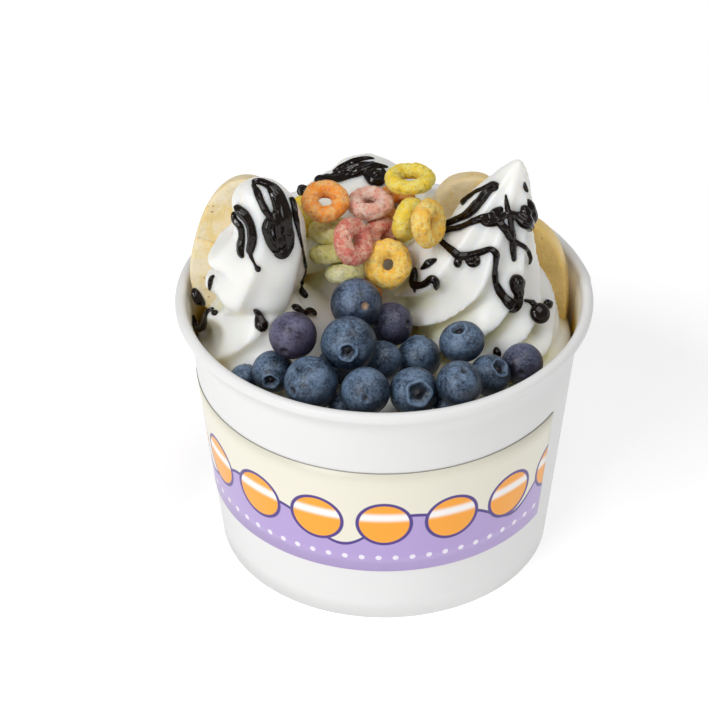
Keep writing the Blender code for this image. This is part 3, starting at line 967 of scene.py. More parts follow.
def shelter(piece, lowest):
    """How hidden each corner is, from 0 to 1: the share of short rays from it that meet the piece again."""
    tree = search_tree([piece])
    tilts = [(heading, tilt) for tilt, count in ((20, 5), (50, 4)) for heading in range(0, 360, 360 // count)]
    rays = [direction(heading, tilt) for heading, tilt in tilts] + [Vector((0, 0, 1))]
    values = []
    for corner in piece.data.vertices:
        hits = 0
        if corner.co.z > lowest:
            turn = corner.normal.to_track_quat("Z", "Y")
            start = corner.co + corner.normal * SHELTER_START
            hits = sum(tree.ray_cast(start, turn @ ray, SHELTER_REACH)[0] is not None for ray in rays)
        values.append(hits / len(rays))
    return evened(piece.data, np.array(values), SHELTER_EVENING)


def evened(mesh, values, rounds):
    """Numbers on a mesh's corners, each drawn towards its neighbours' mean a number of times."""
    count = len(mesh.vertices)
    pairs = np.empty(len(mesh.edges) * 2, int)
    mesh.edges.foreach_get("vertices", pairs)
    first, second = pairs.reshape(-1, 2).T
    degree = np.maximum(np.bincount(first, minlength=count) + np.bincount(second, minlength=count), 1)
    for _ in range(rounds):
        total = np.bincount(first, values[second], count) + np.bincount(second, values[first], count)
        values = (values + total / degree) / 2
    return values


def yogurt_skin(voxel):
    """Filling and swirls fused into one skin, and closed down to the cup's floor."""
    bm = make_filling()
    for swirl in SWIRLS.values():
        add_to(bm, make_swirl(swirl))
    skin = fused(bm, voxel, 3)
    for corner in skin.verts:
        if corner.co.z > OPEN_FROM:
            corner.co += corner.normal * (0.22 * MM * rough(corner.co, 7 * MM, 9.0))
        spread = math.hypot(corner.co.x, corner.co.y)
        corner.co.xy *= min(1.0, yogurt_reach(corner.co.z) / max(spread, MM))
    cut = bmesh.ops.bisect_plane(
        skin, geom=skin.verts[:] + skin.edges[:] + skin.faces[:], dist=MERGE,
        plane_co=(0, 0, SKIN_FOOT), plane_no=(0, 0, 1), clear_inner=True,
    )["geom_cut"]
    rim = [item for item in cut if isinstance(item, bmesh.types.BMEdge)]
    rim, corners = extrude_rim(skin, rim)
    spread = YOGURT_FOOT_RADIUS / yogurt_reach(SKIN_FOOT)
    bmesh.ops.scale(skin, verts=corners, vec=(spread, spread, 1))
    bmesh.ops.translate(skin, verts=corners, vec=(0, 0, YOGURT_FOOT - SKIN_FOOT))
    bmesh.ops.holes_fill(skin, edges=rim, sides=0)
    bmesh.ops.recalc_face_normals(skin, faces=skin.faces)
    return skin


def warm_wall_shade(piece):
    """How amber each corner is, from 0 to 1, as painted warm shade in the gap by the wall: only low down,
    near the wall, and towards the back and sides.
    """
    points = np.array([corner.co for corner in piece.data.vertices])
    spread = np.hypot(points[:, 0], points[:, 1])
    low = np.clip((AMBER_TOP - points[:, 2]) / AMBER_FADE, 0, 1)
    rim_share = np.clip((spread - 45 * MM) / (5 * MM), 0, 1)
    side_share = np.clip(np.abs(points[:, 0]) / (30 * MM) - 0.5, 0, 1)
    back_share = np.clip((points[:, 1] + 2 * MM) / (8 * MM), 0, 1)
    return low * rim_share * side_share * back_share


def make_yogurt(settings):
    """The frozen yogurt, with how hidden each corner is (for painted shade in its folds) and how amber its
    edges are (painted warm shade by the wall) stored on it.
    """
    skin = yogurt_skin(settings.voxel)
    finish = yogurt_finish(settings)
    piece = add_piece("frozen_yogurt", skin, finish, "yogurt", "yogurt_base", *sorted(SWIRLS))
    set_attribute(piece, "crease_shade", shelter(piece, OPEN_FROM))
    set_attribute(piece, "amber", warm_wall_shade(piece))


# ----------------------------------------
# Banana slices

SLICE_STEPS = 72
SLICE_FULLNESS = 0.8
SLICE_RIM = 0.9 * MM
RIM_STEPS = 4

# How warm each slice's flesh is, and how plain the crack across it.
SLICE_LOOKS = {"banana_left": (0.0, 1.0), "banana_right": (0.75, 0.0), "banana_back": (0.16, 0.0)}


def make_slice(number, node, finish):
    """An oval slice with a softened rim and a slightly uneven cut face."""
    stance = stance_of(node)
    rim = SLICE_RIM
    thick = stance.half_thick
    unit = stance.half_wide
    levels = [(unit * share, thick) for share in (0.04, 0.2, 0.36, 0.52, 0.66, 0.78, 0.88)]
    for step in range(RIM_STEPS + 1):
        turn = math.pi / 2 * step / RIM_STEPS
        levels.append((unit - rim + rim * math.sin(turn), thick - rim + rim * math.cos(turn)))
    levels += [(radius, -height) for radius, height in reversed(levels)]
    bm = stacked(levels, SLICE_STEPS)
    bmesh.ops.subdivide_edges(bm, edges=bm.edges[:], cuts=1, use_grid_fill=True)
    layer = bm.verts.layers.float_vector.new("slice")
    seed = 7.0 * number
    for corner in bm.verts:
        across, up = corner.co.x / unit, corner.co.y / unit
        corner[layer] = (across, up, number)
        spread = math.hypot(across, up)
        if spread > 0:
            corner.co.x = unit * math.copysign(spread * abs(across / spread) ** SLICE_FULLNESS, across)
            corner.co.y = unit * math.copysign(spread * abs(up / spread) ** SLICE_FULLNESS, up)
        corner.co.y *= stance.half_high / stance.half_wide
        outward = 1 + 0.012 * rough(Vector((across, up, seed)), 0.55) * spread
        corner.co.x *= outward
        corner.co.y *= outward
        face = 0.28 * rough(corner.co, 5 * MM, seed) + 0.10 * rough(corner.co, 1.6 * MM, seed)
        corner.co.z += face * MM * (1 if corner.co.z > 0 else -1)
    at_stance(bm, stance)
    bmesh.ops.recalc_face_normals(bm, faces=bm.faces)
    add_piece(f"{node}_slice", bm, finish, "banana", node)


# ----------------------------------------
# Blueberries

BERRY_STEPS = 56
BERRY_RINGS = 44
CROWN_ANGLE = 0.36
OPEN_CROWNS = {"blueberry_09": 0.50, "blueberry_14": 0.30, "blueberry_16": 0.36, "blueberry_04": 0.42}
DARK_SCAR = (0.012, 0.010, 0.014)
STEM_SCARS = {"blueberry_18": (0.42, 0.27, 0.16)}
PURPLE_BERRIES = {"blueberry_15": 0.75, "blueberry_17": 0.65, "blueberry_03": 0.5, "blueberry_18": 0.12}


def make_berry(number, node, settings):
    """A slightly squashed ball with a star-shaped crown round a pit, and a stem scar opposite."""
    points = distinct_corners(node)
    centre = Vector((points.max(0) + points.min(0)) / 2)
    offsets = points - np.array(centre)
    spreads = np.linalg.norm(offsets, axis=1)
    crown = Vector(offsets[int(spreads.argmin())]).normalized()
    radius = float(spreads.max())
    squash = float(np.abs(offsets @ np.array(crown)).max()) / radius
    seed = 11.0 + 3.7 * number
    crown_angle = OPEN_CROWNS.get(node, CROWN_ANGLE)
    bm = bmesh.new()
    bmesh.ops.create_uvsphere(bm, u_segments=BERRY_STEPS, v_segments=BERRY_RINGS, radius=1.0)
    pit = bm.verts.layers.float.new("pit")
    lip = bm.verts.layers.float.new("lip")
    scarred = bm.verts.layers.float.new("scar")
    for corner in bm.verts:
        side = math.atan2(corner.co.y, corner.co.x)
        polar = math.acos(max(-1.0, min(1.0, corner.co.z)))
        polar = math.pi * (polar / math.pi) ** 1.25
        across = polar / (crown_angle * (1 + 0.05 * math.cos(5 * side + seed) + 0.04 * math.cos(3 * side)))
        lift = 0.045 * bell(across, 1.0, 0.13) * (1 + 0.4 * math.cos(5 * side + seed))
        sunk = -0.24 * (1 - smoothstep(across, 0.62, 0.96)) - 0.02 * bell(across, 1.45, 0.3)
        button = 0.07 * (1 - smoothstep(across, 0.0, 0.34))
        scar = (math.pi - polar) / 0.17
        stem = -0.10 * (1 - smoothstep(scar, 0.35, 1.0)) + 0.012 * bell(scar, 1.15, 0.25)
        flat = 1 + 0.030 * math.cos(polar) ** 2
        reach_out = flat + lift + sunk + button + stem
        ball = Vector((math.sin(polar) * math.cos(side), math.sin(polar) * math.sin(side), math.cos(polar)))
        reach_out += 0.014 * rough(ball, 0.8, seed) + 0.005 * rough(ball, 0.3, seed)
        corner.co = ball * reach_out * radius * 0.985
        corner.co.z *= squash
        corner[pit] = 1 - smoothstep(across, 0.55, 0.9)
        corner[scarred] = 0.9 * (1 - smoothstep(scar, 0.4, 0.9))
        corner[lip] = bell(across, 1.02, 0.09)
    bmesh.ops.transform(bm, matrix=facing(centre, crown), verts=bm.verts)
    bmesh.ops.recalc_face_normals(bm, faces=bm.faces)
    bm.normal_update()
    # Painted light: how far each corner faces up and towards the key light, so the lit side gets more bloom.
    lit_side = bm.verts.layers.float.new("lit_side")
    for corner in bm.verts:
        x, y, z = corner.normal
        corner[lit_side] = smoothstep(z - 0.35 * x - 0.20 * y, -0.25, 1.1)
    finish = blueberry_finish(settings, PURPLE_BERRIES.get(node, 0.0), STEM_SCARS.get(node, DARK_SCAR))
    add_piece(f"berry_{number:02d}", bm, finish, "blueberry", node)


# ----------------------------------------
# Cereal rings

TUBE_STEPS = 40
TUBE_FULLNESS = 1.06

# The crust, its lighter patches and its specks, for each flavour; and the flavour of each ring.
FLAVOURS = {
    "orange": ((0.92, 0.29, 0.02), (0.92, 0.47, 0.13), (0.82, 0.14, 0.01)),
    "amber": ((0.92, 0.52, 0.05), (0.90, 0.68, 0.18), (0.88, 0.30, 0.03)),
    "yellow": ((0.90, 0.64, 0.03), (0.88, 0.74, 0.16), (0.62, 0.50, 0.01)),
    "pink": ((0.74, 0.36, 0.27), (0.80, 0.56, 0.46), (0.55, 0.07, 0.06)),
    "red": ((0.66, 0.17, 0.12), (0.76, 0.42, 0.30), (0.48, 0.02, 0.03)),
    "lime": ((0.74, 0.68, 0.20), (0.84, 0.79, 0.38), (0.42, 0.44, 0.07)),
    "pale_lime": ((0.84, 0.80, 0.34), (0.90, 0.87, 0.56), (0.60, 0.62, 0.14)),
}
RING_FLAVOURS = (
    "orange", "orange", "pale_lime", "red", "lime", "yellow", "amber",
    "yellow", "amber", "lime", "pink", "yellow", "red", "orange",
)

# How full each ring's tube is, where it isn't as fat as the rest.
SLIM_RINGS = {"cereal_ring_11": 0.90, "cereal_ring_12": 0.84, "cereal_ring_14": 0.94}


def make_ring(number, node, flavour, settings):
    """A puffed cereal ring with a craggy crust, fatter in some places than in others."""
    stance = stance_of(node)
    seed = 5.0 + 2.3 * number
    wide = (stance.half_wide + stance.half_high) / 2
    tube = stance.half_thick * SLIM_RINGS.get(node, 1.0)
    bm = bmesh.new()
    corners = bmesh.ops.create_circle(bm, segments=TUBE_STEPS, radius=1.0)["verts"]
    bmesh.ops.rotate(bm, verts=corners, cent=(0, 0, 0), matrix=Matrix.Rotation(math.pi / 2, 3, "X"))
    bmesh.ops.scale(bm, verts=corners, vec=(tube * TUBE_FULLNESS, 1, tube * TUBE_FULLNESS))
    middle = wide - tube
    bmesh.ops.translate(bm, verts=corners, vec=(middle, 0, 0))
    bmesh.ops.spin(
        bm, geom=bm.verts[:] + bm.edges[:], cent=(0, 0, 0), axis=(0, 0, 1), angle=math.tau,
        steps=settings.steps_round, use_merge=True,
    )
    bmesh.ops.recalc_face_normals(bm, faces=bm.faces)
    bm.normal_update()
    hollow = bm.verts.layers.float.new("hollow")
    moved = {}
    for corner in bm.verts:
        spot = corner.co
        lumps = 0.40 * rough(spot, 5.0 * MM, seed)
        crags = rough(spot, 1.5 * MM, seed) + 0.6 * rough(spot, 0.8 * MM, seed + 1)
        pores = min(0.0, rough(spot, 1.1 * MM, seed + 2) + 0.25) * 1.6
        lift = lumps * MM + settings.craggy * (0.42 * crags + pores)
        # How deep in a pore each corner lies, kept for the painted shade in the pores.
        corner[hollow] = min(1.0, max(0.0, -pores * 1.4 - 0.1 * crags))
        moved[corner] = spot + corner.normal * lift
    for corner, spot in moved.items():
        corner.co = spot
    bmesh.ops.scale(bm, verts=bm.verts, vec=(stance.half_wide / wide, stance.half_high / wide, 1))
    at_stance(bm, stance)
    bmesh.ops.recalc_face_normals(bm, faces=bm.faces)
    finish = cereal_finish(f"{flavour} cereal", *FLAVOURS[flavour])
    add_piece(f"ring_{number:02d}", bm, finish, SLOT_OF_NODE[node], node)


# ----------------------------------------
# Chocolate sauce

DRIZZLE_TILT = 36.39
DRIZZLE_LEVEL = 45.0
DRIZZLE_DISTANCE = 120
AWAY = -direction(0, DRIZZLE_TILT)
SAUCE_SIDES = 28
RIB_PITCH = 1.1 * MM
RIB_HEIGHT = 0.20 * MM
SAUCE_STEP = 0.35
SAUCE_TAPER = 1.5
SAUCE_FULLNESS = 1.22
SAUCE_SAG = 0.01 * MM
SAUCE_DROP = 0.85 * MM
SAUCE_BRIDGING = 90
SAUCE_EVENING = 8

# Each strand is the thickness and the points of one line of sauce.  The points are (across, up) on a plane
# that faces the front from the drizzle's tilt, and the sauce lands on whatever lies behind them.
STRANDS = (
    # the left swirl: the broad mass of lines down its right, the double line and its drip, and the long run
    ((1, 1.7, 2.1, 2.5, 2.6, 2.8, 2.6, 2.5, 2.5, 2.6, 2.1), (
        (-35.6, 55.3), (-33.5, 55.4), (-31.2, 54.5), (-29.2, 52.6), (-27.7, 50), (-26.9, 47.2),
        (-26.2, 43.8), (-25.7, 40.8), (-25.9, 38.3), (-27.5, 36.4), (-29.6, 36.9),
    )),
    ((1.4, 2.1, 1.9, 2.1, 2.1), (
        (-30.3, 46.4), (-31.5, 43.8), (-31.3, 41.2), (-30.2, 38.6), (-28.8, 36.8),
    )),
    ((2.1, 2.5, 2.5, 2.5, 2.1), ((-29.2, 48.1), (-28.8, 45.5), (-28.5, 42.5), (-28, 39.5), (-27.5, 37.3))),
    ((1.1, 1.5, 1.6, 1.8, 1.6), ((-35.3, 54.9), (-34.1, 52.9), (-33, 50.2), (-31.6, 47.4), (-30.1, 45.5))),
    ((1.4, 1.6, 1.8, 1.9), ((-31, 53.9), (-29.8, 51.5), (-29.1, 49.4), (-28.6, 47.2))),
    ((1.7, 2.3, 2.4, 2.3, 2.2, 2.2, 2, 1.6), (
        (-39.7, 49.1), (-38.7, 48), (-37.3, 46.7), (-36.3, 45.3), (-35.5, 43.3), (-35.2, 40.3),
        (-35.7, 37.8), (-36.3, 36.1),
    )),
    ((1.2, 1.8, 1.8, 1.8, 2, 1.8, 1.1), (
        (-40.2, 47.7), (-39.9, 45.5), (-38.5, 43.7), (-38.1, 41.2), (-38.4, 38.6), (-38.4, 36.5),
        (-37.8, 35.2),
    )),
    ((1.3, 0.9, 0.8, 1.4), ((-36.1, 36.5), (-35.4, 34.8), (-34.7, 33.4), (-34, 32.1))),
    ((1.3, 1.6, 1.6, 1.2, 0.8, 0.6, 0.8, 1.1, 1.2, 1.6, 1.8, 1.6), (
        (-25.4, 51.5), (-24.6, 49.4), (-24, 46.4), (-23.3, 43.4), (-22.7, 40.3), (-22.1, 37.3),
        (-21.7, 34.3), (-21.5, 32.2), (-22.3, 30), (-23, 27.4), (-22.2, 26), (-21.1, 25),
    )),
    # drops on the left swirl's foot, on the slice behind it, and the line that hangs from the cup's lip
    ((1.8, 1.8, 1.6, 1.7, 1.4), ((-25.3, 22.8), (-23.5, 21.7), (-22, 20.6), (-20.3, 21.3), (-18.5, 20.2))),
    ((1.4, 1.7, 2.6, 3.4, 2.6), ((-35.3, 21.7), (-34, 20.4), (-33.6, 18.7), (-33.1, 16.9), (-32.7, 15.6))),
    ((0.8, 1.3, 1.3, 0.6), ((-46, 30.9), (-46.9, 30.1), (-47.3, 28.7), (-47.6, 26.8))),
    ((1.7, 2.5, 2.6, 1.8), ((-52.9, 28.1), (-52.1, 26.4), (-51.2, 24.7), (-50.2, 23))),
    ((0.8, 1.6, 1.9, 1.9, 1.7, 1.4, 1.2, 0.7), (
        (-53.5, 20.8), (-53.1, 18.5), (-52.2, 17), (-51, 16.7), (-49.7, 17.6), (-49.2, 19.5),
        (-48.1, 21.2), (-46.5, 22.2),
    )),
    ((1.7, 1.6), ((-47.1, 20.9), (-45.5, 20.6))),
    # the right swirl: the heavy line from its tip, the thread above it, and the net of lines below
    ((2.3, 2.1, 2.3, 2.5, 2.6, 2.1, 1.6, 1.6, 1.4, 0.9, 0.4), (
        (31, 54.5), (29.3, 54.2), (27.9, 52.8), (26.5, 50.9), (24.8, 49), (22.9, 47.5), (20.4, 46.4),
        (18, 45.5), (16.5, 45.2), (15.7, 46.2), (15.2, 47.6),
    )),
    ((1.3, 1.4, 1.1, 1.1, 1.2, 1.4), (
        (31, 55), (29.2, 55.4), (26.9, 54.5), (24.5, 53.2), (22.4, 51.9), (21.4, 50.6),
    )),
    ((1.4, 1.4, 1.4, 1.5, 1.7, 1.8, 2.2, 2.4, 1.4), (
        (15.2, 40.6), (15.5, 42), (16.9, 43.2), (20.4, 43.8), (23.8, 45.1), (26.4, 46.2), (29, 46.8),
        (30.7, 47.8), (32, 49.2),
    )),
    ((0.5, 1.1, 1.4, 1.6, 1.7, 1.5, 1.1), (
        (32.8, 52.7), (33.1, 50.1), (33.7, 46.6), (34.4, 43.2), (34.8, 39.3), (35, 37.1), (35.3, 34.5),
    )),
    ((2, 1.8, 1.6, 1.2, 1.2, 1.1, 0.6), (
        (30.7, 45.8), (32.5, 43.2), (34.2, 40.8), (36.8, 39.3), (38.7, 38), (39.8, 35.8), (39.6, 33.9),
    )),
    ((1.2, 1.6, 2, 1.4, 1.8, 1.8), (
        (26, 45.8), (28.1, 44.8), (30.7, 45.3), (32.9, 47.1), (35, 47.1), (37.2, 46.2),
    )),
    ((1.8, 3, 3.6, 2.8), ((34.6, 47.3), (36.8, 46.4), (38.7, 44.9), (39.6, 43.6))),
    ((1.8, 3, 3.6, 3), ((38.7, 51.4), (39.1, 49.2), (39.3, 46.6), (39.3, 44.5))),
    ((2, 3, 3.4), ((37.6, 49.9), (38.1, 47.9), (38.7, 46.2))),
    ((0.5, 1.2, 0.6), ((37.9, 56.1), (38.1, 54.4), (38.7, 53.3))),
    # the long thread that loops down the front of the right swirl, with its curls and its end
    ((1.5, 1.5, 1.7, 1.9, 1.7, 1.6, 1.5, 1.7, 1.6, 1.5, 1.6, 1.9, 2.2, 2.5, 2.6), (
        (15.2, 40.6), (16.5, 39.3), (18.6, 37.5), (20.4, 36.2), (23.8, 36.5), (26.4, 37.1), (28.8, 37.8),
        (30.1, 36.7), (30.1, 34.5), (29.9, 31.9), (30.3, 28.9), (31.6, 26.3), (32.9, 24.6), (34.2, 23.1),
        (34.9, 22),
    )),
    ((1.4, 1.9, 2), ((20.9, 36), (19.9, 34.5), (20.4, 33))),
    ((1.5, 1.9, 1.8, 1.5), ((22.1, 35.5), (23.8, 34.1), (25.3, 34.5), (24.9, 36))),
    ((3.4, 4.2, 3.2, 2.2, 2.6, 2.4), (
        (36.1, 31.3), (36, 29.8), (36.1, 27.6), (36.4, 25.4), (35.7, 22.6), (33.8, 21),
    )),
    ((0.7, 1.1, 2.2), ((38, 24.3), (39.8, 23.9), (41.3, 23.1))),
    ((1.8, 2.2, 1.6), ((44.3, 24.6), (45.2, 23.3), (45.4, 22))),
    ((0.7, 1.8, 0.7), ((14.5, 35.3), (12.4, 34.3), (10, 32.6))),
    ((1.2, 1.8, 2, 1.6, 1.8, 1.8, 1.2), (
        (8.5, 33.4), (8.2, 30.8), (8.5, 28.4), (11.1, 28.6), (13, 30), (14.1, 29.1), (14.1, 27.2),
    )),
    ((1.2, 0.5), ((8.5, 28), (8.5, 26.2))),
    ((1, 1.9, 1.3), ((30.4, 11.6), (30.8, 10), (31.4, 8.2))),
    # the back swirl
    ((0.5, 1.3, 1.5, 1.4, 0.9, 0.3), (
        (-14.4, 60.4), (-12, 61.8), (-9, 63), (-6.4, 63.8), (-4.2, 64.1), (-2.6, 64),
    )),
    ((1.5, 2, 2, 2, 2, 2.2, 1.8, 0.6), (
        (-18.6, 58.6), (-16, 58.6), (-13.3, 58.4), (-10.6, 58.9), (-8, 59.7), (-5.3, 61.1), (-2.7, 62),
        (1.2, 61.6),
    )),
    ((1, 1.5, 1.5, 1.5, 0.6), ((-15.1, 59.1), (-12.4, 60.2), (-8.9, 61.4), (-5.3, 62.3), (-1.3, 62.5))),
    ((2, 2, 2.4, 2.2, 1.8, 1.2), (
        (-5.3, 60.6), (-4.4, 58.9), (-2.9, 57.5), (-1.1, 57.5), (-0.2, 59.3), (-0.5, 61.1),
    )),
    ((2.2, 2.4, 2), ((-4, 60.2), (-2.2, 59.5), (-1.3, 60.6))),
    ((2.2, 2.4, 1.8), ((-23.7, 54.4), (-22.8, 55.8), (-21.3, 56.1))),
)

# Each round drop of sauce is its place (across, up) on the same plane and its radius.
DROPS = ((42.6, 20.7, 3.0), (44.9, 23.3, 1.3), (-33.9, 32.2, 0.9), (-18.3, 58.5, 1.5), (-22.6, 55.4, 1.5))
DROP_FLATNESS = 0.72
DROP_RAYS = 8
DROP_SPREAD = 0.6


def aim(across, rise):
    """The start of a ray that goes AWAY through a place on the drizzle's plane, to the food behind it."""
    up = direction(180, 90 - DRIZZLE_TILT)
    start = Vector((0, 0, DRIZZLE_LEVEL)) + Vector((across, 0, 0)) + up * rise - AWAY * DRIZZLE_DISTANCE
    return start * MM


def make_drop(tree, across, rise, radius):
    """A round drop that sits on the food, on the nearest of the surfaces that lie behind it."""
    hits = []
    for turn in (math.tau * step / DROP_RAYS for step in range(DROP_RAYS)):
        beside = DROP_SPREAD * radius * math.cos(turn)
        above = DROP_SPREAD * radius * math.sin(turn)
        hits.append(tree.ray_cast(aim(across + beside, rise + above), AWAY))
    spot = aim(across, rise) + AWAY * min(depth for _, _, _, depth in hits)
    normal = sum((normal for _, normal, _, _ in hits), Vector())
    bm = bmesh.new()
    bmesh.ops.create_icosphere(bm, subdivisions=4, radius=radius * MM)
    bmesh.ops.scale(bm, verts=bm.verts, vec=(1, 1, DROP_FLATNESS))
    bmesh.ops.transform(bm, matrix=facing(spot, normal), verts=bm.verts)
    return bm


def bridged(depths):
    """A thread's depths once it drops nowhere too steeply and spans the hollows under it."""
    for _ in range(2):
        for i in range(1, len(depths)):
            depths[i] = min(depths[i], depths[i - 1] + SAUCE_DROP)
        depths.reverse()
    for _ in range(SAUCE_BRIDGING):
        for i in range(1, len(depths) - 1):
            depths[i] = min(depths[i], (depths[i - 1] + depths[i + 1]) / 2 + SAUCE_SAG)
    return depths


def make_strand(tree, widths, points):
    """A rounded thread of sauce laid on the surface behind its points."""
    run = sum((Vector(b) - Vector(a)).length for a, b in zip(points, points[1:]))
    steps = max(6, int(run / SAUCE_STEP))
    rows = []
    for step in range(steps + 1):
        share = step / steps
        start = aim(*along(points, share))
        width = SAUCE_FULLNESS * along([(value,) for value in widths], share)[0]
        spot, normal, _, depth = tree.ray_cast(start, AWAY)
        if spot is not None:
            rows.append((start, normal, width / 2 * MM, depth))
    if len(rows) < 4:
        raise RuntimeError(f"a strand of sauce at {points[0]} misses the yogurt")
    last = len(rows) - 1
    spots = [row[0] + AWAY * depth for row, depth in zip(rows, bridged([row[3] for row in rows]))]
    normals = [row[1] for row in rows]
    for _ in range(SAUCE_EVENING):
        normals = [
            (normals[max(i - 1, 0)] + 2 * normals[i] + normals[min(i + 1, last)]).normalized()
            for i in range(len(rows))
        ]

    def place(u, v):
        index = min(int(round(v * last)), last)
        spot, normal, half = spots[index], normals[index], rows[index][2]
        ahead = (spots[min(index + 1, last)] - spots[max(index - 1, 0)]).normalized()
        side = normal.cross(ahead).normalized()
        from_end = min(index, last - index) * SAUCE_STEP * MM / max(half * SAUCE_TAPER, MERGE)
        rounding = math.sqrt(max(0.0, 1 - max(0.0, 1 - from_end) ** 2)) if from_end < 1 else 1.0
        half = max(half * rounding, 0.02 * MM) * (1 + 0.16 * rough(spot, 2.5 * MM, 4.0))
        turn = math.tau * u
        across, rise = half * math.cos(turn), half * (0.28 + 0.92 * math.sin(turn))
        ribs = RIB_HEIGHT * math.cos(math.tau * across / RIB_PITCH + 2 * rough(spot, 5 * MM, 8.0))
        return spot + side * across + normal * (rise + ribs * max(0.0, math.sin(turn)))

    return wrapped(SAUCE_SIDES, last, place)


def make_sauce(settings, landing):
    """All the sauce, fused so that strands run into one another."""
    tree = search_tree(landing)
    bm = bmesh.new()
    for widths, points in STRANDS:
        add_to(bm, make_strand(tree, widths, points))
    for drop in DROPS:
        add_to(bm, make_drop(tree, *drop))
    skin = fused(bm, settings.voxel, 1)
    bmesh.ops.recalc_face_normals(skin, faces=skin.faces)
    add_piece("chocolate_sauce", skin, sauce_finish(settings), "chocolate")


# ----------------------------------------
# The stage

SENSOR = 36.0
LENS = 180.07
SHIFT_ACROSS = -0.0427
SHIFT_UP = 0.0494
WHITE = (1.0, 1.0, 1.0, 1.0)
WORLD_STRENGTH = 0.31
FLOOR_RADIUS = 4.0
FLOOR_GREY = (0.86, 0.86, 0.86, 1.0)
FLOOR_GLOW = 0.36

# Each light's name, its place, its width in metres and its power in watts.
LIGHTS = (
    ("key", (-0.70, -0.62, 1.05), 0.32, 5.2),
    ("top", (0.36, -0.18, 1.45), 0.9, 7.4),
    ("fill", (-0.70, -1.05, 0.65), 0.6, 5.0),
)


def add_light(target, name, place, size, power):
    """A soft square light at a place, facing the target."""
    lamp = bpy.data.lights.new(name, "AREA")
    lamp.shape = "SQUARE"
    lamp.size = size
    lamp.energy = power
    light = linked(name, lamp)
    light.location = place
    light.rotation_euler = (Vector(target) - Vector(place)).to_track_quat("-Z", "Y").to_euler()


def make_stage(settings):
    """A white floor, a pale world, three soft lights and the camera."""
    scene = bpy.context.scene
    bm = bmesh.new()
    bmesh.ops.create_circle(bm, cap_ends=True, segments=64, radius=FLOOR_RADIUS)
    finish = Finish(
        "floor", base_color=FLOOR_GREY, roughness=0.9, emission_strength=FLOOR_GLOW, emission_color=WHITE,
    )
    floor = linked("floor", mesh_from(bm, "floor"))
    floor.data.materials.append(finish.material)
    world = bpy.data.worlds.new("studio")
    world.use_nodes = True
    background = world.node_tree.nodes["Background"]
    background.inputs["Color"].default_value = WHITE
    background.inputs["Strength"].default_value = WORLD_STRENGTH
    scene.world = world
    target = (0, 0, settings.target_height)
    for light in LIGHTS:
        add_light(target, *light)
    camera = bpy.data.cameras.new("camera")
    camera.sensor_width = SENSOR
    camera.lens = LENS
    camera.shift_x = SHIFT_ACROSS
    camera.shift_y = SHIFT_UP
    camera.clip_start = 0.05
    camera.clip_end = 20
    eye = linked("camera", camera)
    back = direction(0, math.degrees(settings.elevation))
    eye.location = Vector(target) + back * settings.distance
    eye.rotation_euler = (-back).to_track_quat("-Z", "Y").to_euler()
    scene.camera = eye
    scene.view_settings.view_transform = "Standard"


# ----------------------------------------
# Operators and panel


class MakePaperCup(bpy.types.Operator):
    """Make the paper wall and floor"""

    bl_idname = "yogurt_cup.paper_cup"
    bl_label = "Paper Cup"

    def execute(self, context):
        make_cup(context.scene.paper_cup)
        return {"FINISHED"}


class MakePrintedBand(bpy.types.Operator):
    """Make the printed band round the cup"""

    bl_idname = "yogurt_cup.printed_band"
    bl_label = "Printed Band"

    def execute(self, context):
        make_band(context.scene.printed_band, context.scene.paper_cup)
        return {"FINISHED"}


class MakeFrozenYogurt(bpy.types.Operator):
    """Make the filling and the three swirls of frozen yogurt"""

    bl_idname = "yogurt_cup.frozen_yogurt"
    bl_label = "Frozen Yogurt"

    def execute(self, context):
        make_yogurt(context.scene.frozen_yogurt)
        return {"FINISHED"}


class MakeBananaSlices(bpy.types.Operator):
    """Make the banana slices"""

    bl_idname = "yogurt_cup.banana_slices"
    bl_label = "Banana Slices"

    def execute(self, context):
        for number, node in enumerate(nodes_named("banana"), 1):
            make_slice(number, node, banana_finish(context.scene.banana_slices, *SLICE_LOOKS[node]))
        return {"FINISHED"}


class MakeBlueberries(bpy.types.Operator):
    """Make the blueberries"""

    bl_idname = "yogurt_cup.blueberries"
    bl_label = "Blueberries"

    def execute(self, context):
        for number, node in enumerate(nodes_named("blueberry"), 1):
            make_berry(number, node, context.scene.blueberries)
        return {"FINISHED"}


class MakeCerealRings(bpy.types.Operator):
    """Make the cereal rings"""

    bl_idname = "yogurt_cup.cereal_rings"
    bl_label = "Cereal Rings"

    def execute(self, context):
        rings = nodes_named("cereal_ring")
        if len(rings) != len(RING_FLAVOURS):
            raise RuntimeError(f"{len(rings)} rings, but {len(RING_FLAVOURS)} flavours")
        for number, (node, flavour) in enumerate(zip(rings, RING_FLAVOURS), 1):
            make_ring(number, node, flavour, context.scene.cereal_rings)
        return {"FINISHED"}


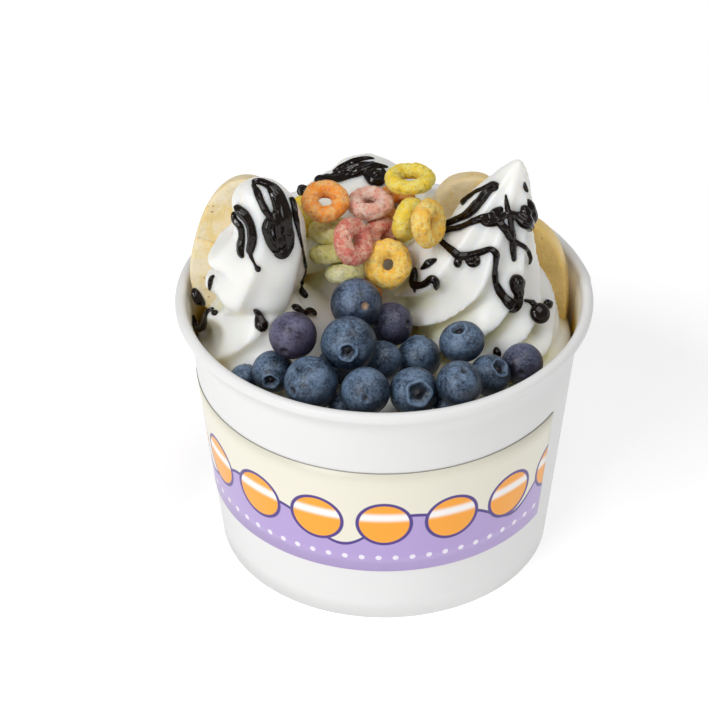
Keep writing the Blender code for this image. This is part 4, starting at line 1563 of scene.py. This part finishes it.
class MakeChocolateSauce(bpy.types.Operator):
    """Drizzle the chocolate sauce over the yogurt and the fruit"""

    bl_idname = "yogurt_cup.chocolate_sauce"
    bl_label = "Chocolate Sauce"

    def execute(self, context):
        names = ["frozen_yogurt", "paper_wall"] + [f"{node}_slice" for node in nodes_named("banana")]
        make_sauce(context.scene.chocolate_sauce, [bpy.data.objects[name] for name in names])
        return {"FINISHED"}


class MakeStudio(bpy.types.Operator):
    """Make the floor, the lights and the camera"""

    bl_idname = "yogurt_cup.studio"
    bl_label = "Studio"

    def execute(self, context):
        make_stage(context.scene.studio)
        return {"FINISHED"}


OPERATORS = (
    MakePaperCup, MakePrintedBand, MakeFrozenYogurt, MakeBananaSlices, MakeBlueberries, MakeCerealRings,
    MakeChocolateSauce, MakeStudio,
)


class YogurtCupPanel(bpy.types.Panel):
    """Each piece of the cup, with its settings"""

    bl_idname = "VIEW3D_PT_yogurt_cup"
    bl_label = "Frozen Yogurt Cup"
    bl_space_type = "VIEW_3D"
    bl_region_type = "UI"
    bl_category = "Yogurt Cup"

    def draw(self, context):
        for operator, (name, group) in zip(OPERATORS, SETTINGS.items()):
            box = self.layout.box()
            box.operator(operator.bl_idname)
            for key in group.__annotations__:
                box.prop(getattr(context.scene, name), key)


CLASSES = (*SETTINGS.values(), *OPERATORS, YogurtCupPanel)


def register():
    for cls in CLASSES:
        bpy.utils.register_class(cls)
    for name, group in SETTINGS.items():
        setattr(bpy.types.Scene, name, PointerProperty(type=group))


def unregister():
    for name in SETTINGS:
        delattr(bpy.types.Scene, name)
    for cls in reversed(CLASSES):
        bpy.utils.unregister_class(cls)


def main():
    register()
    bpy.ops.yogurt_cup.paper_cup()
    bpy.ops.yogurt_cup.printed_band()
    bpy.ops.yogurt_cup.frozen_yogurt()
    bpy.ops.yogurt_cup.banana_slices()
    bpy.ops.yogurt_cup.blueberries()
    bpy.ops.yogurt_cup.cereal_rings()
    bpy.ops.yogurt_cup.chocolate_sauce()
    bpy.ops.yogurt_cup.studio()


if __name__ == "__main__":
    main()
